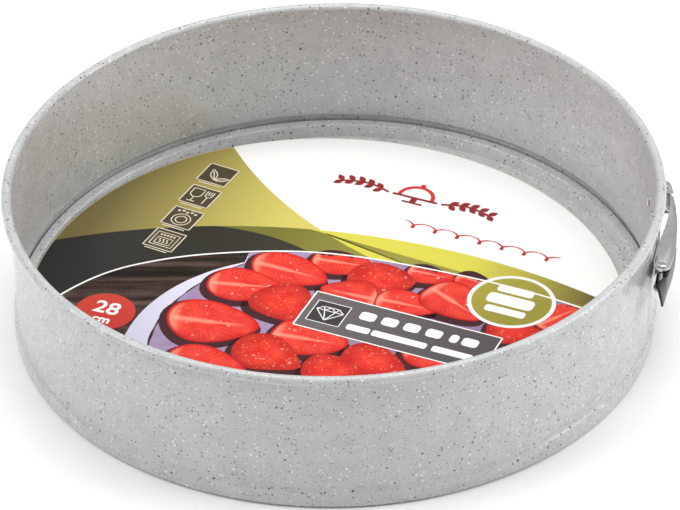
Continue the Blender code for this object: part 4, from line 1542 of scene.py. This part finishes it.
    # -- labels --
    def banner(self) -> None:
        """Grey banner with a cut-stone mark and plain bars in place of words."""
        label = Label(self.BANNER_CENTRE, self.text_turn)
        grey = Ink("banner_grey", srgb(104, 98, 98), srgb(84, 78, 78), -24.0, -0.01, 0.08)
        line = Ink("label_white", srgb(246, 246, 244), mottle=0.02)
        dark = Ink("label_dark", srgb(58, 54, 52))
        box = label.to_card(self.box(88.5, 27.0))
        self.shape(box, grey, Layer.LABEL)
        self.frame_line(box, 0.7, line, Layer.LABEL + 1)
        mark = -33.0
        stone = [(mark + x, y) for x, y in self.box(15.6, 15.6)]
        self.shape(label.to_card(stone), dark, Layer.LABEL_FRAME)
        self.frame_line(label.to_card(stone), 0.4, line, Layer.LABEL_MARK)
        top, girdle, tip = 4.2, 1.6, -5.6
        knots = {"a": (-3.6, top), "b": (3.6, top), "c": (6.4, girdle), "d": (-6.4, girdle), "t": (0.0, tip),
                 "e": (-2.6, girdle), "f": (2.6, girdle), "m": (0.0, top)}
        for start, end in ("ab", "bc", "ct", "td", "da", "dc", "et", "ft", "ae", "em", "mf", "fb"):
            path = [(mark + knots[k][0], knots[k][1]) for k in (start, end)]
            self.stroke(label.to_card(path), 0.45, line, Layer.LABEL_MARK)
        for y, height, bars in ((4.6, 6.0, ((-16.0, 7.5), (-5.5, 7.5), (5.0, 7.5), (15.5, 7.5), (25.0, 4.0),
                                            (32.5, 7.5))),
                                (-5.6, 4.2, ((-16.5, 11.0), (3.0, 26.0), (28.0, 19.0)))):
            for x, width in bars:
                self.rounded_bar(label, (x, y), width, height, line)
        self.finish_film("card_print_banner")

    def rounded_bar(self, label: Label, centre: Point, width: float, height: float, ink: object) -> None:
        """A bar with round ends in a label's own coordinates.

        Args:
            label: the label's frame.
            centre: the bar's centre in it.
            width: length of the bar.
            height: height of the bar.
            ink: the finish to print with.
        """
        corner = height * 0.3
        outline: list[Point] = []
        for quarter, (sx, sy) in enumerate(((1, 1), (-1, 1), (-1, -1), (1, -1))):
            middle = (centre[0] + sx * (width / 2 - corner), centre[1] + sy * (height / 2 - corner))
            outline += self.arc(middle, corner, 90.0 * quarter, 90.0 * quarter + 90.0, 5)
        self.shape(label.to_card(outline), ink, Layer.LABEL_MARK)

    def sticker(self) -> None:
        """Round olive sticker with a white edge and plain bars."""
        centre = self.STICKER_CENTRE
        label = Label(centre, self.text_turn)
        edge = Ink("sticker_white", srgb(244, 243, 238), mottle=0.03)
        green = Ink("sticker_olive", srgb(178, 168, 62), srgb(150, 142, 52), -60.0, 0.0, 0.05)
        self.shape(self.arc(centre, 19.8, 0.0, 360.0, 72)[:-1], edge, Layer.LABEL - 6)
        self.shape(self.arc(centre, 17.9, 0.0, 360.0, 72)[:-1], green, Layer.LABEL - 5)
        self.rounded_bar(label, (-1.0, 8.2), 17.0, 5.4, edge)
        self.rounded_bar(label, (-0.5, 0.0), 22.0, 7.6, edge)
        self.rounded_bar(label, (0.0, -8.0), 19.0, 4.8, edge)
        self.finish_film("card_print_sticker")

    def pictograms(self) -> None:
        """Four small square marks: leaf, glass, plate and oven."""
        ground = Ink("mark_ground", srgb(72, 64, 42))
        cream = Ink("mark_line", srgb(228, 218, 194), mottle=0.02)
        places = ((-49.4, 101.7), (-57.3, 84.2), (-65.1, 66.7), (-72.8, 49.4))
        marks = (self.leaf_lines(), self.glass_lines(), self.plate_lines(), self.oven_lines())
        for centre, lines in zip(places, marks):
            turn = self.text_turn - 4.0
            box = self.turned(self.box(14.6, 14.6), centre, turn)
            self.shape(box, ground, Layer.LABEL)
            self.frame_line(box, 0.55, cream, Layer.LABEL_MARK)
            for path in lines:
                self.stroke(self.turned(path, centre, turn), 0.5, cream, Layer.LABEL_MARK)
            under = self.turned([(-5.6, -8.7), (5.6, -8.7)], centre, turn)
            self.stroke(under, 0.6, cream, Layer.LABEL_MARK)
        self.finish_film("card_print_marks")

    def leaf_lines(self) -> list[list[Point]]:
        """Two leaves on a stalk.

        Returns:
            The lines.
        """
        lines = []
        for sx, length, width, turn in ((-1, 9.0, 3.2, 118.0), (1, 7.0, 2.6, 28.0)):
            side = [(length * t / 12, width * math.sin(math.pi * t / 12) * 0.5) for t in range(13)]
            other = [(x, -y) for x, y in side]
            lines += [self.turned(side, (0.5, -4.6), turn), self.turned(other, (0.5, -4.6), turn),
                      self.turned([(0.0, 0.0), (length * 0.8, 0.0)], (0.5, -4.6), turn)]
        return lines

    def glass_lines(self) -> list[list[Point]]:
        """A stemmed glass and a fork.

        Returns:
            The lines.
        """
        cup = [(-5.4, 5.2), *self.arc((-2.6, 1.4), 2.8, 180.0, 360.0, 14), (0.2, 5.2), (-5.4, 5.2)]
        fork = [[(3.4, -5.2), (3.4, 0.5)], self.arc((3.4, 2.2), 1.7, 180.0, 360.0, 10)]
        prongs = [[(x, 2.2), (x, 5.2)] for x in (1.7, 2.8, 4.0, 5.1)]
        return [cup, [(-2.6, -1.4), (-2.6, -4.8)], [(-4.6, -5.0), (-0.6, -5.0)], *fork, *prongs]

    def plate_lines(self) -> list[list[Point]]:
        """A plate under drops of water.

        Returns:
            The lines.
        """
        drops = [self.arc((x, 4.8 + 0.7 * (i % 2)), 0.55, 0.0, 360.0, 8) for i, x in
                 enumerate((-4.2, -2.1, 0.0, 2.1, 4.2))]
        rim, well = (self.arc((0.0, -1.4), radius, 0.0, 360.0, count)
                     for radius, count in ((4.4, 28), (2.6, 20)))
        return [rim, well, *drops]

    def oven_lines(self) -> list[list[Point]]:
        """An oven with a window, knobs and rising heat.

        Returns:
            The lines.
        """
        outer, window = self.box(11.0, 10.0), [(x, y - 1.2) for x, y in self.box(7.4, 5.0)]
        heat = [[(x + 0.5 * math.sin(k), -2.8 + 3.2 * k / 6) for k in range(7)] for x in (-1.8, 0.0, 1.8)]
        knobs = [self.arc((x, 3.3), 0.4, 0.0, 360.0, 8) for x in (-3.2, -1.6, 0.0, 1.6, 3.2)]
        return [[*outer, outer[0]], [*window, window[0]], *heat, *knobs]

    def size_disc(self) -> None:
        """Red disc with the pan's size in centimetres."""
        centre = self.DISC_CENTRE
        red = Ink("disc_red", srgb(206, 62, 46), srgb(186, 48, 38), -90.0, -0.01, 0.03)
        self.shape(self.arc(centre, 13.6, 0.0, 360.0, 60)[:-1], red, Layer.LABEL)
        self.finish_film("card_print_size_disc")
        white = Ink("digit_white", srgb(250, 248, 244), mottle=0.01).material()
        for name, words, size, shift in (("card_print_size_number", "28", 12.0, (0.0, -1.0)),
                                         ("card_print_size_unit", "cm", 7.0, (0.6, -8.0))):
            text = bpy.data.curves.new(name, "FONT")
            text.body = words
            text.size = size
            text.align_x = "CENTER"
            text.offset = 0.22
            text.extrude = self.layer_step * 0.4
            obj = bpy.data.objects.new(name + "_text", text)
            bpy.context.scene.collection.objects.link(obj)
            mesh = evaluated_mesh(obj, name)
            lift = self.thickness / 2 + Layer.LABEL_MARK * self.layer_step
            local = (Matrix.Translation((*centre, lift))
                     @ Matrix.Rotation(math.radians(self.text_turn + 4.0), 4, "Z")
                     @ Matrix.Translation((*shift, 0.0)))
            flat = [local @ v.co for v in mesh.vertices]
            uv = mesh.uv_layers.new(name="card")
            for loop in mesh.loops:
                p = flat[loop.vertex_index]
                uv.data[loop.index].uv = (p.x * MM, p.y * MM)
            mesh.transform(self.place @ Matrix.Scale(MM, 4) @ local)
            mesh.materials.clear()
            mesh.materials.append(white)
            piece = link_object(name, mesh)
            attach(piece, "card")
            LOG.info("made %s", name)

    def ornament(self) -> None:
        """A cake on a stand between sprigs, and a scroll under it."""
        red = Ink("ornament_dark_red", srgb(140, 34, 36))
        bright = Ink("ornament_red", srgb(208, 50, 44))
        label = Label(self.ORNAMENT_CENTRE, self.text_turn)
        level = Layer.LABEL
        dome = self.arc((0.0, -1.0), 8.0, 0.0, 180.0, 24)
        self.stroke(label.to_card(dome), 1.9, bright, level)
        self.shape(label.to_card([(x, y - 1.9) for x, y in self.box(22.0, 1.4)]), red, level)
        self.shape(label.to_card([(x, y - 4.1) for x, y in self.box(3.0, 3.0)]), red, level)
        self.shape(label.to_card([(x, y - 6.1) for x, y in self.box(10.0, 1.2)]), red, level)
        self.shape(label.to_card(self.arc((0.0, 8.7), 1.3, 0.0, 360.0, 16)[:-1]), bright, level)
        for side in (-1, 1):
            stalk = [(side * (13.0 + 24.0 * t / 20), -2.0 + 3.0 * math.sin(math.pi * t / 20))
                     for t in range(21)]
            self.stroke(label.to_card(stalk), 1.3, red, level)
            for k in range(5):
                x, y = stalk[3 + 4 * k]
                for up in (-1, 1):
                    leaf = [(5.2 * t / 8, 1.5 * math.sin(math.pi * t / 8)) for t in range(9)]
                    leaf += [(5.2 * t / 8, -1.5 * math.sin(math.pi * t / 8)) for t in range(7, 0, -1)]
                    tilt = 45.0 * up if side > 0 else 180.0 - 45.0 * up
                    self.shape(label.to_card(self.turned(leaf, (x, y), tilt)), red, level + 1)
        path = []
        widths = []
        for k in range(161):
            t = k / 160
            path.append((-38.0 + 76.0 * t + 2.4 * math.sin(t * 44.0), 2.2 * math.cos(t * 44.0)))
            widths.append(0.4 + 0.8 * abs(math.sin(t * 22.0)))
        self.stroke(self.turned(path, self.SCROLL_CENTRE, self.text_turn), widths, bright, level)
        self.finish_film("card_print_ornament")

    def build(self) -> None:
        """Make the board and every printed piece."""
        self.board()
        self.fields()
        self.picture()
        self.fruit()
        self.sticker()
        self.banner()
        self.pictograms()
        self.size_disc()
        self.ornament()


# ---- studio --------------------------------------------------------------------------
@dataclass
class Studio:
    """Pale floor, soft light and the camera."""

    distance: float = 1.9033
    elevation: float = 36.35
    lens: float = 226.9
    roll: float = -0.97
    aim_up: float = 0.703
    aim_right: float = 0.060

    def floor(self) -> None:
        """A pale floor with a faint grain."""
        half = 6.0
        mesh = mesh_of("studio_floor", [(-half, -half, 0.0), (half, -half, 0.0), (half, half, 0.0),
                                        (-half, half, 0.0)], [(0, 1, 2, 3)])
        material, maker, shader = shader_for("floor_paper")
        grain = maker.noise(maker.place(), 60.0)
        feed(maker, shader, {"Base Color": maker.mix(grain, srgb(247, 247, 247), srgb(250, 250, 250)),
                             "Roughness": 0.7, "Specular IOR Level": 0.2})
        mesh.materials.append(material)
        link_object("studio_floor", mesh)

    def softbox(self, name: str, place: tuple[float, float, float], size: float, power: float) -> None:
        """A square area light aimed at the pan.

        Args:
            name: the light's name.
            place: where it stands.
            size: length of its side.
            power: its power in watts.
        """
        data = bpy.data.lights.new(name, "AREA")
        data.energy = power
        data.size = size
        lamp = bpy.data.objects.new(name, data)
        lamp.location = place
        lamp.rotation_euler = (Vector((0.0, 0.0, 0.03)) - Vector(place)).to_track_quat("-Z", "Y").to_euler()
        bpy.context.scene.collection.objects.link(lamp)

    def world(self) -> None:
        """A white room that darkens a little towards the sides."""
        world = bpy.data.worlds.new("studio_room")
        world.use_nodes = True
        bpy.context.scene.world = world
        maker = NodeMaker(world.node_tree)
        coordinates = maker.node("ShaderNodeTexCoord", {}, {})
        parts = maker.node("ShaderNodeSeparateXYZ", {}, {0: coordinates.outputs["Generated"]})
        height = Number(maker, parts.outputs[2]).step(-0.1, 1.0)
        ramp = maker.node("ShaderNodeValToRGB", {"stops": [
            (0.0, (0.80, 0.80, 0.80, 1.0)), (0.18, (0.56, 0.56, 0.56, 1.0)),
            (0.55, (0.85, 0.85, 0.85, 1.0)), (1.0, (1.0, 1.0, 1.0, 1.0))]}, {0: height})
        background = world.node_tree.nodes["Background"]
        maker.tree.links.new(ramp.outputs[0], background.inputs["Color"])
        background.inputs["Strength"].default_value = 0.46

    def camera(self) -> None:
        """The camera, looking across the pan from the front and above."""
        data = bpy.data.cameras.new("camera")
        data.sensor_width = 36.0
        data.lens = self.lens
        data.clip_end = 50.0
        camera = bpy.data.objects.new("camera", data)
        bpy.context.scene.collection.objects.link(camera)
        rise = math.radians(self.elevation)
        place = Vector((0.0, -self.distance * math.cos(rise), self.distance * math.sin(rise)))
        look = (-place).to_track_quat("-Z", "Y").to_matrix()
        roll = Matrix.Rotation(math.radians(self.roll), 3, "Z")
        aim = Matrix.Rotation(math.radians(self.aim_up), 3, "X") @ Matrix.Rotation(
            math.radians(-self.aim_right), 3, "Y")
        camera.matrix_world = Matrix.Translation(place) @ (look @ roll @ aim).to_4x4()
        bpy.context.scene.camera = camera
        bpy.context.scene.view_settings.view_transform = "Standard"

    def build(self) -> None:
        """Make the floor, the lights and the camera."""
        self.floor()
        self.world()
        self.softbox("key_softbox", (-1.5, -0.25, 1.3), 1.2, 16.0)
        self.softbox("top_softbox", (0.1, 0.25, 1.9), 1.6, 24.0)
        self.softbox("side_softbox", (1.6, -0.1, 0.9), 1.0, 16.0)
        self.camera()
        LOG.info("made the studio")


def main() -> None:
    """Build the pan's sub-assemblies in order."""
    logging.basicConfig(level=logging.INFO, format="%(name)s: %(message)s")
    coating = SpeckledCoating().material()
    plated = PressedSteel("plated_steel", srgb(226, 228, 227), srgb(196, 199, 198), 0.34, 0.5).material()
    # painted shade: this dark steel colour stands in for the shade on the lever; the metal itself is not
    # darker
    dark = PressedSteel("dark_steel", srgb(66, 69, 70), srgb(46, 49, 50), 0.34, 0.5).material()
    Band(SweepTree(), coating).build()
    Base(coating).build()
    Card().build()
    Latch(RivetTree(), plated, dark).build()
    Studio().build()


if __name__ == "__main__":
    main()
